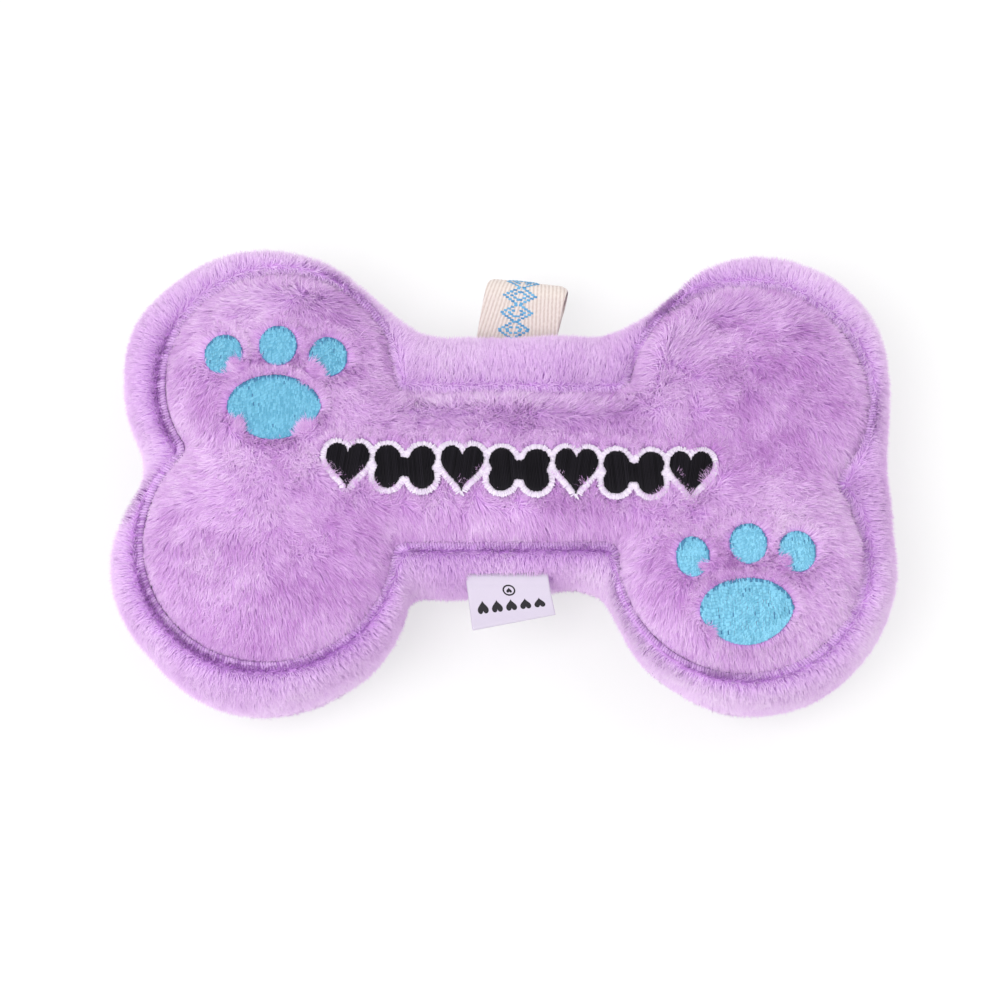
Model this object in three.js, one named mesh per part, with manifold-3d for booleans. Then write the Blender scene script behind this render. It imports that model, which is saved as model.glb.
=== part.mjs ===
// A squeaky plush bone for dogs, lying on its back face with its embroidered face up.
// Millimetres, +Z up. X runs along the bone, Y across it, and the origin is the middle of its resting face.
import * as THREE from "three";
import { mergeVertices } from "three/addons/utils/BufferGeometryUtils.js";
import Module from "manifold-3d";

const wasm = await Module();
wasm.setup();

// Fits
const gap = 0.3; // clear space between neighbouring pieces
const overrun = 2; // how far a cutting shape runs past the face that it cuts

// Outer bone, seen from above
const lobeSpacingX = 132;
const lobeSpacingY = 53;
const lobeRadius = 38;
const barTop = 40; // the bar's upper edge, above the middle line
const barBottom = 32.2; // the bar's lower edge, below the middle line
const topFillet = 24;
const bottomFillet = 6;
const leftEndFillet = 16;
const rightEndFillet = 110;
// Each lobe's place as shares of the spacings and its radius as a share of lobeRadius, counterclockwise
const bodyLobeShares = [
  { x: 0.514, y: -0.519, radius: 1 }, // lower right
  { x: 0.53, y: 0.515, radius: 0.93 }, // upper right
  { x: -0.493, y: 0.515, radius: 0.997 }, // upper left
  { x: -0.487, y: -0.477, radius: 1.066 }, // lower left
];

// Raised inner bone, sewn on the front
const innerSpacingX = 126;
const innerSpacingY = 44.5;
const innerRadius = 32;
const innerBarTop = 21;
const innerBarBottom = 20.4;
const innerFillet = 4;
const innerLobeShares = [
  { x: 0.503, y: -0.551, radius: 0.997 },
  { x: 0.527, y: 0.434, radius: 1 },
  { x: -0.475, y: 0.551, radius: 0.956 },
  { x: -0.492, y: -0.458, radius: 1.031 },
];

// Heights above the table
const seamHeight = 18; // where the front and back panels are sewn together
const grooveHeight = 29; // the sewn-down line round the inner bone
const rimCrestHeight = 32.5;
const domeRise = 7; // how far the stuffing lifts the front panel under the inner bone
const padThickness = 8; // inner bone over the front panel, at its crown
const padEdgeThickness = 4; // and at its edge
const crownReach = 17; // how far in from the inner bone's edge its crown keeps rising

// Panels: backing and pile together
const panelThickness = 7;
const sheetThickness = 2.5; // front panel where the inner bone covers it
const restInset = 24; // from the outline to the flat face that the toy lies on
// Sections of the panels, each as shares: across the rim and up from the seam for the front,
// in from the outline and up to the seam for the back
const rimSectionShares = [
  [0, 0],
  [0.04, 0.3],
  [0.15, 0.62],
  [0.38, 0.92],
  [0.62, 1],
  [0.86, 0.92],
];
const rimInnerWallShare = 0.32; // height of the front panel's inner wall in the rim
const backSectionShares = [
  [1, 0],
  [0.62, 0.045],
  [0.33, 0.18],
  [0.13, 0.45],
  [0.03, 0.73],
  [0, 1],
];
const backCavityShares = [
  [0, 1],
  [0.12, 0.5],
  [0.4, 0.16],
  [1, 0],
];
const crownShares = [0, 0.06, 0.22, 0.55, 1]; // places of the pad's rings, as shares of crownReach
const domeShares = [0.12, 0.45, 1];

// Thread and satin stitching
const satinWidth = 2;
const satinThickness = 0.9;
const threadRadius = 0.5;
const threadSides = 4;
const closingThreadRadius = 0.4;
const closingStitches = 5;
const closingStitchRise = 1.2; // how far a closing stitch reaches above and below the seam
const openingFromShare = 0.62; // where the closed opening starts on its lobe
const openingShare = 0.36; // how much of the lobe it takes

// Embroidered patches, set down in the pile
const patchThickness = 1.2;
const patchRecess = 2; // from the pile's crown to the embroidery
const pawPadWidth = 24.8;
const pawPadHeight = 18;
const pawToeWidth = 10.2;
const pawToeHeight = 11;
const pawPadTaperShare = 0.16; // how much narrower the lower half of a paw's pad is
// Middles of the toes from the middle of the pad, as shares of the pad's width and height
const pawToeShares = {
  left: [-0.56, 0.8],
  middle: [0.03, 0.96],
  right: [0.56, 0.82],
};
// Paw prints, each placed from the middle of its own lobe, as shares of innerRadius
const pawPrintShares = { upper: [-0.035, -0.37], lower: [0.008, -0.6] };
const pawPrintDegrees = { upper: -1, lower: 2.5 };

// Row of small hearts and bones, embroidered in black on a white border
const heartWidth = 11.2;
const heartHeight = 12.4;
const miniBoneLength = 15.8;
const miniBoneHeight = 11.6;
const miniLobeRadius = 3.3;
const miniBarHalf = 2.4;
const miniFillet = 0.8;
const motifGap = 1.6;
const borderWidth = 1.7;
const borderThickness = 0.8;
const borderStep = 1.5; // between the points along the border's edge
const motifThickness = 1;
const motifRowX = 4.6;
const motifRowY = -4.1;
const motifRowDegrees = -1.5;

// Twill tape loop in the upper seam
const tapeWidth = 22;
const tapeThickness = 0.8;
const tapePinchedHalf = 0.6; // half of the two layers where they are sewn together
const tailClearance = 0.5; // from a tail's end to the line that its loop or label swings about
const loopLength = 18; // from the pile's edge to the fold
const loopFoldRadius = 4.8; // outside the fold
const loopHingeOut = 1.2; // from the pile's edge to the line that the loop swings about
const loopX = 3.8;
const loopLeanShare = 0.2; // sideways run of the tape for each millimetre outward
const loopSkewShare = 0.12; // slope of the folded end

// Folded satin label in the lower seam
const labelWidth = 22;
const labelThickness = 1.2; // both layers and the slit between them
const labelSlit = 0.4;
const labelHingeOut = 0.8; // from the pile's edge to the line that the label swings about
const labelLength = 9.4; // from the pile's edge to the fold
const labelLift = 5.6; // how far the label rises from the seam to the pile's edge
const labelRise = 1.2; // and from there to its fold
const labelX = 1.3;
const labelLeanShare = 0.16;
const labelSkewShare = -0.16;

// Squeaker, sewn in a pouch in the middle of the stuffing
const squeakerX = 2;
const squeakerY = 0.5;
const bulbRadius = 17.5;
const bulbHeight = 16;
const bulbWall = 0.8;
const bulbSquareShare = 0.72; // exponent of the bulb's section: 1 is an ellipse, less is squarer
const clothThickness = 0.8;
const pouchFlange = 2.6;
const pouchThreadRadius = 0.35;
const neckBore = 4.6;
const neckWall = 1;
const neckLength = 7;
const holderBore = 3.2;
const holderFlangeRadius = 6.2;
const holderFlangeThickness = 0.8;
const reedWidth = 3.6;
const reedThickness = 0.3;
const reedLength = 6.4;
const reedTail = 2; // held part of the reed, below its bending line
const reedClearance = 0.5; // room for the reed to swing on each side
const airChannelRadius = 1.2;

const lobeSteps = 12;
const cornerSteps = 3;
const endSteps = 2;
const barSteps = 4;
const latheSegments = 24;
const toeSteps = 12;
const padSteps = 20;
const heartSteps = 16;
const miniLobeSteps = 5;
const foldSteps = 8;

const fullTurn = 2 * Math.PI;
const degrees = THREE.MathUtils.degToRad;

function lobesFrom(shares, spacingX, spacingY, radius) {
  return shares.map((share) => ({
    x: share.x * spacingX,
    y: share.y * spacingY,
    radius: share.radius * radius,
  }));
}

// The angles of an arc's two ends, the second moved by whole turns so that the arc runs the way asked for.
function arcBetween(centre, radius, fromAngle, toAngle, convex, steps) {
  let end = toAngle;
  while (convex && end <= fromAngle) end += fullTurn;
  while (!convex && end >= fromAngle) end -= fullTurn;
  while (convex && end > fromAngle + fullTurn) end -= fullTurn;
  while (!convex && end < fromAngle - fullTurn) end += fullTurn;
  return { centre, radius, fromAngle, toAngle: end, convex, steps };
}

const angleFrom = (a, b) => Math.atan2(b.y - a.y, b.x - a.x);

// The middle of a fillet between a lobe and one edge of the bar. side is 1 for a lobe to the right of the bar, and
// outward is 1 for the upper edge and -1 for the lower one.
function barFilletCentre(lobe, edgeY, fillet, side, outward) {
  const y = edgeY + outward * fillet;
  const reach = Math.sqrt((lobe.radius + fillet) ** 2 - (y - lobe.y) ** 2);
  return { x: lobe.x - side * reach, y };
}

// The middle of a fillet between the two lobes at one end. side is 1 for the right end.
function endFilletCentre(a, b, fillet, side) {
  const ra = a.radius + fillet;
  const rb = b.radius + fillet;
  const between = Math.hypot(b.x - a.x, b.y - a.y);
  const along = (ra ** 2 - rb ** 2 + between ** 2) / (2 * between);
  const off = Math.sqrt(ra ** 2 - along ** 2);
  const ux = (b.x - a.x) / between;
  const uy = (b.y - a.y) / between;
  const x = a.x + ux * along;
  const y = a.y + uy * along;
  const turned = side * Math.sign(uy) || side;
  return { x: x + uy * off * turned, y: y - ux * off * turned };
}

// A bone seen from above, counterclockwise, as arcs that any inset keeps joined: a lobe shrinks and a fillet grows.
function boneArcs({ lobes, top, bottom, fillets, steps }) {
  const [lowerRight, upperRight, upperLeft, lowerLeft] = lobes;
  const right = endFilletCentre(lowerRight, upperRight, fillets.right, 1);
  const left = endFilletCentre(lowerLeft, upperLeft, fillets.left, -1);
  const topRight = barFilletCentre(upperRight, top, fillets.top, 1, 1);
  const topLeft = barFilletCentre(upperLeft, top, fillets.top, -1, 1);
  const bottomLeft = barFilletCentre(lowerLeft, bottom, fillets.bottom, -1, -1);
  const bottomRight = barFilletCentre(lowerRight, bottom, fillets.bottom, 1, -1);
  const down = -Math.PI / 2;
  const up = Math.PI / 2;
  const lobe = (c, from, to) =>
    arcBetween(c, c.radius, angleFrom(c, from), angleFrom(c, to), true, steps.lobe);
  const hollow = (c, radius, from, to, count) => arcBetween(c, radius, from, to, false, count);
  return [
    lobe(lowerRight, bottomRight, right),
    hollow(right, fillets.right, angleFrom(right, lowerRight), angleFrom(right, upperRight), steps.end),
    lobe(upperRight, right, topRight),
    hollow(topRight, fillets.top, angleFrom(topRight, upperRight), down, steps.corner),
    { steps: steps.bar },
    hollow(topLeft, fillets.top, down, angleFrom(topLeft, upperLeft), steps.corner),
    lobe(upperLeft, topLeft, left),
    hollow(left, fillets.left, angleFrom(left, upperLeft), angleFrom(left, lowerLeft), steps.end),
    lobe(lowerLeft, left, bottomLeft),
    hollow(bottomLeft, fillets.bottom, angleFrom(bottomLeft, lowerLeft), up, steps.corner),
    { steps: steps.bar },
    hollow(bottomRight, fillets.bottom, up, angleFrom(bottomRight, lowerRight), steps.corner),
  ];
}

function arcPoint(arc, share, inset) {
  const radius = arc.convex ? arc.radius - inset : arc.radius + inset;
  const angle = THREE.MathUtils.lerp(arc.fromAngle, arc.toAngle, share);
  return new THREE.Vector2(
    arc.centre.x + radius * Math.cos(angle),
    arc.centre.y + radius * Math.sin(angle),
  );
}

// The bone's outline moved in by inset, with the same number of points at any inset.
function outlineAt(arcs, inset = 0) {
  const points = [];
  arcs.forEach((arc, i) => {
    const before = arcs.at(i - 1);
    const after = arcs[(i + 1) % arcs.length];
    for (let k = 0; k < arc.steps; k++) {
      const share = k / arc.steps;
      points.push(
        arc.centre
          ? arcPoint(arc, share, inset)
          : arcPoint(before, 1, inset).lerp(arcPoint(after, 0, inset), share),
      );
    }
  });
  return points;
}

const outlineSteps = { lobe: lobeSteps, corner: cornerSteps, end: endSteps, bar: barSteps };
const bodyLobes = lobesFrom(bodyLobeShares, lobeSpacingX, lobeSpacingY, lobeRadius);
const innerLobes = lobesFrom(innerLobeShares, innerSpacingX, innerSpacingY, innerRadius);
const bodyArcs = boneArcs({
  lobes: bodyLobes,
  top: barTop,
  bottom: -barBottom,
  fillets: { top: topFillet, bottom: bottomFillet, left: leftEndFillet, right: rightEndFillet },
  steps: outlineSteps,
});
const innerArcs = boneArcs({
  lobes: innerLobes,
  top: innerBarTop,
  bottom: -innerBarBottom,
  fillets: { top: innerFillet, bottom: innerFillet, left: innerFillet, right: innerFillet },
  steps: outlineSteps,
});

const ring = (outline, z) => outline.map((p) => new THREE.Vector3(p.x, p.y, z));
const bodyRing = (inset, z) => ring(outlineAt(bodyArcs, inset), z);
const innerRing = (inset, z) => ring(outlineAt(innerArcs, inset), z);
const ringBetween = (a, b, share, z) =>
  a.map((p, i) => new THREE.Vector3().lerpVectors(p, b[i], share).setZ(z));

// Triangles that close a ring, facing up or down.
function capFaces(points, start, up) {
  const flat = points.map((p) => new THREE.Vector2(p.x, p.y));
  return THREE.ShapeUtils.triangulateShape(flat, []).flatMap(([a, b, c]) => {
    const area = flat[b].clone().sub(flat[a]).cross(flat[c].clone().sub(flat[a]));
    return area > 0 === up ? [start + a, start + b, start + c] : [start + a, start + c, start + b];
  });
}

// A skin over rings of equal count. Its ends are capped, or with closed the last ring joins the first.
function loft(rings, closed = false) {
  const count = rings[0].length;
  const positions = rings.flat().flatMap((p) => [p.x, p.y, p.z]);
  const faces = [];
  const bands = closed ? rings.length : rings.length - 1;
  for (let r = 0; r < bands; r++) {
    const low = r * count;
    const high = ((r + 1) % rings.length) * count;
    for (let i = 0; i < count; i++) {
      const next = (i + 1) % count;
      faces.push(low + i, low + next, high + next, low + i, high + next, high + i);
    }
  }
  if (!closed) {
    faces.push(...capFaces(rings[0], 0, false));
    faces.push(...capFaces(rings.at(-1), (rings.length - 1) * count, true));
  }
  const geometry = new THREE.BufferGeometry();
  geometry.setAttribute("position", new THREE.Float32BufferAttribute(positions, 3));
  geometry.setIndex(faces);
  return geometry;
}

// Solids for cutting and joining
function solidOf(geometry) {
  const bare = new THREE.BufferGeometry();
  bare.setAttribute("position", geometry.getAttribute("position"));
  bare.setIndex(geometry.index);
  const merged = mergeVertices(bare, gap / 1000);
  return new wasm.Manifold(
    new wasm.Mesh({
      numProp: 3,
      vertProperties: merged.attributes.position.array,
      triVerts: new Uint32Array(merged.index.array),
    }),
  );
}

function geometryOf(solid) {
  const mesh = solid.getMesh();
  const geometry = new THREE.BufferGeometry();
  geometry.setAttribute("position", new THREE.BufferAttribute(mesh.vertProperties, 3));
  geometry.setIndex(new THREE.BufferAttribute(mesh.triVerts, 1));
  return geometry;
}

function cut(geometry, tools) {
  return geometryOf(tools.reduce((left, tool) => left.subtract(solidOf(tool)), solidOf(geometry)));
}

const moved = (geometry, x, y, z) => geometry.clone().translate(x, y, z);

function block(xLow, xHigh, yLow, yHigh, zLow, zHigh) {
  const box = new THREE.BoxGeometry(xHigh - xLow, yHigh - yLow, zHigh - zLow);
  return box.translate((xLow + xHigh) / 2, (yLow + yHigh) / 2, (zLow + zHigh) / 2);
}

function prism(outline, depth) {
  return new THREE.ExtrudeGeometry(new THREE.Shape(outline), { depth, bevelEnabled: false });
}

// Heights over the inner bone, at a distance in from its edge
function swell(inset) {
  const left = 1 - Math.min(inset / crownReach, 1);
  return Math.sqrt(1 - left ** 2);
}
const domeAt = (inset) => grooveHeight + domeRise * swell(inset);
const padAt = (inset) => padEdgeThickness + (padThickness - padEdgeThickness) * swell(inset);
const crownAt = (inset) => domeAt(inset) + padAt(inset);
const padCrownHeight = crownAt(crownReach);

const innerEdge = outlineAt(innerArcs);
function insetAt(x, y) {
  const point = new THREE.Vector3(x, y, 0);
  const near = new THREE.Vector3();
  const line = new THREE.Line3();
  const distances = innerEdge.map((p, i) => {
    const q = innerEdge[(i + 1) % innerEdge.length];
    line.set(new THREE.Vector3(p.x, p.y, 0), new THREE.Vector3(q.x, q.y, 0));
    return line.closestPointToPoint(point, true, near).distanceTo(point);
  });
  return Math.min(...distances);
}

// A frame that lies on the pad's crown at x, y, tilted with it and turned by degrees about its own normal.
function seatOnCrown(x, y, turn, reach) {
  const at = (px, py) => crownAt(insetAt(px, py));
  const slopeX = (at(x + reach, y) - at(x - reach, y)) / (2 * reach);
  const slopeY = (at(x, y + reach) - at(x, y - reach)) / (2 * reach);
  const normal = new THREE.Vector3(-slopeX, -slopeY, 1).normalize();
  const seat = new THREE.Group();
  seat.position.set(x, y, at(x, y));
  seat.quaternion.setFromUnitVectors(new THREE.Vector3(0, 0, 1), normal);
  seat.rotateZ(degrees(turn));
  seat.updateMatrix();
  return seat;
}

// Materials
const surface = (color, roughness) => new THREE.MeshStandardMaterial({ color, roughness, metalness: 0 });
const plush = surface(0xc58fdd, 0.95);
const backPlush = surface(0xc08ad9, 0.95);
const innerPlush = surface(0xc996e0, 0.95);
const lilacThread = surface(0xa583b8, 0.7);
const turquoiseThread = surface(0x58bcd6, 0.6);
const blackThread = surface(0x17151b, 0.6);
const whiteThread = surface(0xf1e9f3, 0.6);
const twillTape = surface(0xf2e6dc, 0.9);
const satinLabel = surface(0xece8f6, 0.45);
const fibreFill = surface(0xf4f4f2, 1);
const pouchCloth = surface(0xdedad2, 0.95);
const bulbPlastic = surface(0xe8e6da, 0.4);
const reedPlastic = surface(0xf6f6f4, 0.35);

const toy = new THREE.Group();
function place(name, geometry, material, parent = toy) {
  const mesh = new THREE.Mesh(geometry, material);
  mesh.name = name;
  mesh.geometry.computeVertexNormals();
  parent.add(mesh);
  return mesh;
}

// Tails of the tape and the label, where they pass between the panels
const threadInset = panelThickness + 2 * gap + threadRadius;
const closingInset = threadInset + closingStitchRise / 2;
const fillInset = closingInset + threadRadius + gap;
const tailLength = panelThickness - gap / 2;
const tapeRun = (y) => loopX + loopLeanShare * (y - barTop);
const labelRun = (y) => labelX + labelLeanShare * (-barBottom - y);

// A slab whose outline, seen from above, leans with its tape: at each y it is centred on run(y).
function leaningSlab(run, width, yLow, yHigh, zAt, thickness) {
  const corners = (y) => [
    [run(y) - width / 2, y],
    [run(y) + width / 2, y],
  ];
  const [a, b] = corners(yLow);
  const [d, c] = corners(yHigh);
  const outline = [a, b, c, d];
  const level = (side) =>
    outline.map(([x, y]) => new THREE.Vector3(x, y, zAt(y) + (side * thickness) / 2));
  return loft([level(-1), level(1)]);
}

function tapeSlot() {
  const height = 2 * tapeThickness + 2 * gap;
  const low = barTop - panelThickness - overrun;
  return leaningSlab(tapeRun, tapeWidth + 2 * gap, low, barTop + overrun, () => seamHeight, height);
}

const labelSlope = labelLift / tailLength;
const labelTailBase = seamHeight + labelThickness / 2 + gap;
const labelTailAt = (y) => labelTailBase + Math.max(0, tailLength - barBottom - y) * labelSlope;

// The pile is parted over the label's tail, so the slot there is open above.
function labelSlot() {
  const low = -barBottom - overrun;
  const high = -barBottom + tailLength + gap;
  const x = labelRun(-barBottom);
  const half = labelWidth / 2 + gap + labelLeanShare * panelThickness;
  const floor = (y) => labelTailAt(y) - labelThickness / 2 - gap;
  const section = [
    new THREE.Vector2(low, floor(low)),
    new THREE.Vector2(high, Math.min(floor(high), seamHeight - gap / 2)),
    new THREE.Vector2(high, rimCrestHeight + overrun),
    new THREE.Vector2(low, rimCrestHeight + overrun),
  ];
  const geometry = prism(section, 2 * half);
  // From a section drawn in y and z, extruded along z, to one extruded along x
  geometry.applyMatrix4(new THREE.Matrix4().makeBasis(
    new THREE.Vector3(0, 1, 0),
    new THREE.Vector3(0, 0, 1),
    new THREE.Vector3(1, 0, 0),
  ));
  return moved(geometry, x - half, 0, 0);
}

function frontPanel() {
  const rise = rimCrestHeight - seamHeight;
  const ledge = innerRing(-(satinWidth + 3 * gap), grooveHeight);
  const seam = seamHeight + gap / 2;
  const under = domeShares.map((share) => {
    const inset = share * crownReach;
    return innerRing(inset, domeAt(inset) - sheetThickness);
  });
  const rings = [
    ...under.reverse(),
    bodyRing(panelThickness, seamHeight + rimInnerWallShare * rise),
    bodyRing(panelThickness, seam),
    ...rimSectionShares.map(([across, up]) =>
      ringBetween(bodyRing(0, seam), ledge, across, seam + up * (rimCrestHeight - seam)),
    ),
    ledge,
    innerRing(0, grooveHeight),
    ...domeShares.map((share) => innerRing(share * crownReach, domeAt(share * crownReach))),
  ];
  return cut(loft(rings), [tapeSlot(), labelSlot()]);
}

function backPanel() {
  const seam = seamHeight - gap / 2;
  const cavityInset = restInset - panelThickness;
  const rings = [
    ...backSectionShares.map(([inward, up]) => bodyRing(inward * restInset, up * seam)),
    ...backCavityShares.map(([inward, up]) =>
      bodyRing(panelThickness + inward * cavityInset, panelThickness + up * (seam - panelThickness)),
    ),
  ];
  return cut(loft(rings), [tapeSlot()]);
}

// The squeaker's pouch as a solid, grown by gap, which leaves its pocket in the stuffing
const squeakerHeight = seamHeight;
function bulbSection(radius, halfHeight, from, to, steps) {
  const points = [];
  for (let k = 0; k <= steps; k++) {
    const angle = THREE.MathUtils.lerp(from, to, k / steps);
    const c = Math.cos(angle);
    const s = Math.sin(angle);
    points.push(
      new THREE.Vector2(
        radius * Math.abs(c) ** bulbSquareShare,
        halfHeight * Math.sign(s) * Math.abs(s) ** bulbSquareShare,
      ),
    );
  }
  return points;
}

const quarter = Math.PI / 2;
const bulbHalf = bulbHeight / 2;
const pouchRadius = bulbRadius + gap;
const pouchHalf = bulbHalf + holderFlangeThickness + gap;
const pouchRim = pouchRadius + clothThickness + pouchFlange;
const lathe = (points) => new THREE.LatheGeometry(points, latheSegments);
// LatheGeometry turns about Y, and the squeaker stands along Z.
const stand = (geometry) =>
  geometry.rotateX(quarter).translate(squeakerX, squeakerY, squeakerHeight);

function pouchPocket() {
  const grown = clothThickness + 2 * gap;
  const half = clothThickness + 2 * gap + 2 * pouchThreadRadius + gap;
  const rim = pouchRim + gap;
  const steps = 5;
  const lower = bulbSection(pouchRadius + grown, pouchHalf + grown, -quarter, 0, steps);
  const upper = bulbSection(pouchRadius + grown, pouchHalf + grown, 0, quarter, steps);
  lower[0].x = 0;
  upper.at(-1).x = 0;
  const clear = (points) => points.filter((p) => Math.abs(p.y) > half);
  const edge = pouchRadius + grown;
  const profile = [
    ...clear(lower),
    new THREE.Vector2(edge, -half),
    new THREE.Vector2(rim, -half),
    new THREE.Vector2(rim, half),
    new THREE.Vector2(edge, half),
    ...clear(upper),
  ];
  return stand(lathe(profile));
}

function fillBack() {
  const low = panelThickness + gap;
  const high = seamHeight - gap / 2;
  const deep = restInset + gap;
  const rings = backCavityShares
    .toReversed()
    .map(([inward, up]) =>
      bodyRing(fillInset + inward * (deep - fillInset), low + up * (high - low)),
    );
  return cut(loft(rings), [pouchPocket()]);
}

function fillFront() {
  const rise = rimCrestHeight - seamHeight;
  const shift = fillInset - panelThickness;
  const rings = [
    bodyRing(fillInset, seamHeight + gap / 2),
    bodyRing(fillInset, seamHeight + rimInnerWallShare * rise - gap),
    ...domeShares.map((share) => {
      const inset = share * crownReach;
      return innerRing(inset + shift, domeAt(inset) - sheetThickness - gap);
    }),
  ];
  return cut(loft(rings), [pouchPocket()]);
}

// Outlines of what is embroidered on the inner bone
function pawPadOutline(width, height) {
  const points = [];
  for (let k = 0; k < padSteps; k++) {
    const angle = (k / padSteps) * fullTurn;
    const taper = 1 - pawPadTaperShare * Math.max(0, -Math.sin(angle));
    points.push(
      new THREE.Vector2((width / 2) * Math.cos(angle) * taper, (height / 2) * Math.sin(angle)),
    );
  }
  return points;
}

function toeOutline(width, height) {
  return new THREE.EllipseCurve(0, 0, width / 2, height / 2, 0, fullTurn)
    .getPoints(toeSteps)
    .slice(0, toeSteps);
}

// The usual heart curve, as shares of its own height: where its middle lies, and the reach of each of its waves
const heartMiddleShare = -0.086;
const heartWaveShares = [0.448, -0.172, -0.069, -0.034];
function heartOutline(width, height) {
  const points = [];
  for (let k = 0; k < heartSteps; k++) {
    const angle = ((k + 1 / 2) / heartSteps) * fullTurn;
    const x = -(Math.sin(angle) ** 3) / 2;
    const waves = heartWaveShares.map((share, n) => share * Math.cos((n + 1) * angle));
    const y = waves.reduce((sum, wave) => sum + wave, -heartMiddleShare);
    points.push(new THREE.Vector2(x * width, y * height));
  }
  return points;
}

function miniBoneOutline(grow) {
  const x = miniBoneLength / 2 - miniLobeRadius;
  const y = miniBoneHeight / 2 - miniLobeRadius;
  const radius = miniLobeRadius + grow;
  const lobes = [
    { x, y: -y, radius },
    { x, y, radius },
    { x: -x, y, radius },
    { x: -x, y: -y, radius },
  ];
  const half = miniBarHalf + grow;
  const fillets = { top: miniFillet, bottom: miniFillet, left: miniFillet, right: miniFillet };
  const steps = { lobe: miniLobeSteps, corner: 1, end: 1, bar: 1 };
  return outlineAt(boneArcs({ lobes, top: half, bottom: -half, fillets, steps }));
}

const motifKinds = ["heart", "bone", "heart", "bone", "heart", "bone", "heart"];
function motifOutline(kind, grow) {
  return kind === "heart"
    ? heartOutline(heartWidth + 2 * grow, heartHeight + 2 * grow)
    : miniBoneOutline(grow);
}

function motifMiddles() {
  const widths = motifKinds.map((kind) => (kind === "heart" ? heartWidth : miniBoneLength));
  const total = widths.reduce((sum, w) => sum + w + motifGap, -motifGap);
  let x = -total / 2;
  return widths.map((width) => {
    const middle = x + width / 2;
    x += width + motifGap;
    return middle;
  });
}

// The lowest and the highest place where a line straight up at x crosses any of the outlines
function crossings(outlines, x) {
  const heights = [];
  for (const outline of outlines) {
    outline.forEach((p, i) => {
      const q = outline[(i + 1) % outline.length];
      if (p.x <= x === q.x <= x) return;
      heights.push(p.y + ((q.y - p.y) * (x - p.x)) / (q.x - p.x));
    });
  }
  return [Math.min(...heights), Math.max(...heights)];
}

// One outline round the whole row of motifs and its border
function rowOutline(middles) {
  const outlines = motifKinds.map((kind, i) =>
    motifOutline(kind, borderWidth).map((p) => new THREE.Vector2(p.x + middles[i], p.y)),
  );
  const points = outlines.flat();
  const left = points.reduce((a, b) => (b.x < a.x ? b : a));
  const right = points.reduce((a, b) => (b.x > a.x ? b : a));
  const count = Math.round((right.x - left.x) / borderStep);
  const lower = [];
  const upper = [];
  for (let k = 1; k < count; k++) {
    const x = THREE.MathUtils.lerp(left.x, right.x, k / count);
    const [low, high] = crossings(outlines, x);
    lower.push(new THREE.Vector2(x, low));
    upper.unshift(new THREE.Vector2(x, high));
  }
  return [left, ...lower, right, ...upper];
}

// A counterclockwise outline with each point moved out by distance, square to its neighbours.
function grownOutline(outline, distance) {
  return outline.map((p, i) => {
    const before = outline.at(i - 1);
    const after = outline[(i + 1) % outline.length];
    const along = after.clone().sub(before).normalize();
    return new THREE.Vector2(p.x + along.y * distance, p.y - along.x * distance);
  });
}

// Everything that is embroidered: its name, its solid, its material, its seat and the well that it needs
function embroidery() {
  const pieces = [];
  const reach = pawPadHeight / 4;
  const depth = patchRecess + patchThickness;
  const [lowerRight, , upperLeft] = innerLobes;
  for (const [side, lobe] of Object.entries({ upper: upperLeft, lower: lowerRight })) {
    const [shareX, shareY] = pawPrintShares[side];
    const turn = pawPrintDegrees[side];
    const x = lobe.x + shareX * innerRadius;
    const y = lobe.y + shareY * innerRadius;
    const turned = new THREE.Matrix4().makeRotationZ(degrees(turn));
    const parts = [["pad", 0, 0, (grow) => pawPadOutline(pawPadWidth + grow, pawPadHeight + grow)]];
    for (const [toe, [across, up]] of Object.entries(pawToeShares)) {
      const outline = (grow) => toeOutline(pawToeWidth + grow, pawToeHeight + grow);
      parts.push(["toe_" + toe, across * pawPadWidth, up * pawPadHeight, outline]);
    }
    for (const [part, offX, offY, outline] of parts) {
      const off = new THREE.Vector3(offX, offY, 0).applyMatrix4(turned);
      const seat = seatOnCrown(x + off.x, y + off.y, turn, reach);
      const body = moved(prism(outline(0), patchThickness), 0, 0, -depth);
      const wellDepth = depth + gap + overrun + patchRecess;
      const well = moved(prism(outline(2 * gap), wellDepth), 0, 0, -depth - gap);
      pieces.push({
        name: side + "_paw_" + part,
        seat,
        body,
        material: turquoiseThread,
        well: well.applyMatrix4(seat.matrix),
      });
    }
  }
  return pieces;
}

function motifRow() {
  const seat = new THREE.Group();
  const top = padCrownHeight - patchRecess;
  const base = top - motifThickness - borderThickness;
  seat.position.set(motifRowX, motifRowY, base);
  seat.rotation.z = degrees(motifRowDegrees);
  seat.updateMatrix();
  const middles = motifMiddles();
  const outline = rowOutline(middles);
  const border = prism(outline, borderThickness);
  const well = prism(grownOutline(outline, 2 * gap), top - base + patchRecess + overrun);
  const motifs = motifKinds.map((kind, i) => ({
    name: "motif_" + kind + "_" + (i + 1),
    body: moved(prism(motifOutline(kind, 0), motifThickness), middles[i], 0, borderThickness),
  }));
  return { seat, border, motifs, well: moved(well, 0, 0, -gap).applyMatrix4(seat.matrix) };
}

function innerPad(wells) {
  const rings = [
    ...domeShares.map((share) => innerRing(share * crownReach, domeAt(share * crownReach) + gap)).reverse(),
    innerRing(0, grooveHeight + gap),
    ...crownShares.map((share) => innerRing(share * crownReach, crownAt(share * crownReach))),
  ];
  return cut(loft(rings), wells);
}

function satinBorder() {
  const low = grooveHeight + gap;
  const high = low + satinThickness;
  const inside = -gap;
  const outside = -(gap + satinWidth);
  return loft(
    [innerRing(inside, low), innerRing(outside, low), innerRing(outside, high), innerRing(inside, high)],
    true,
  );
}

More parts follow.
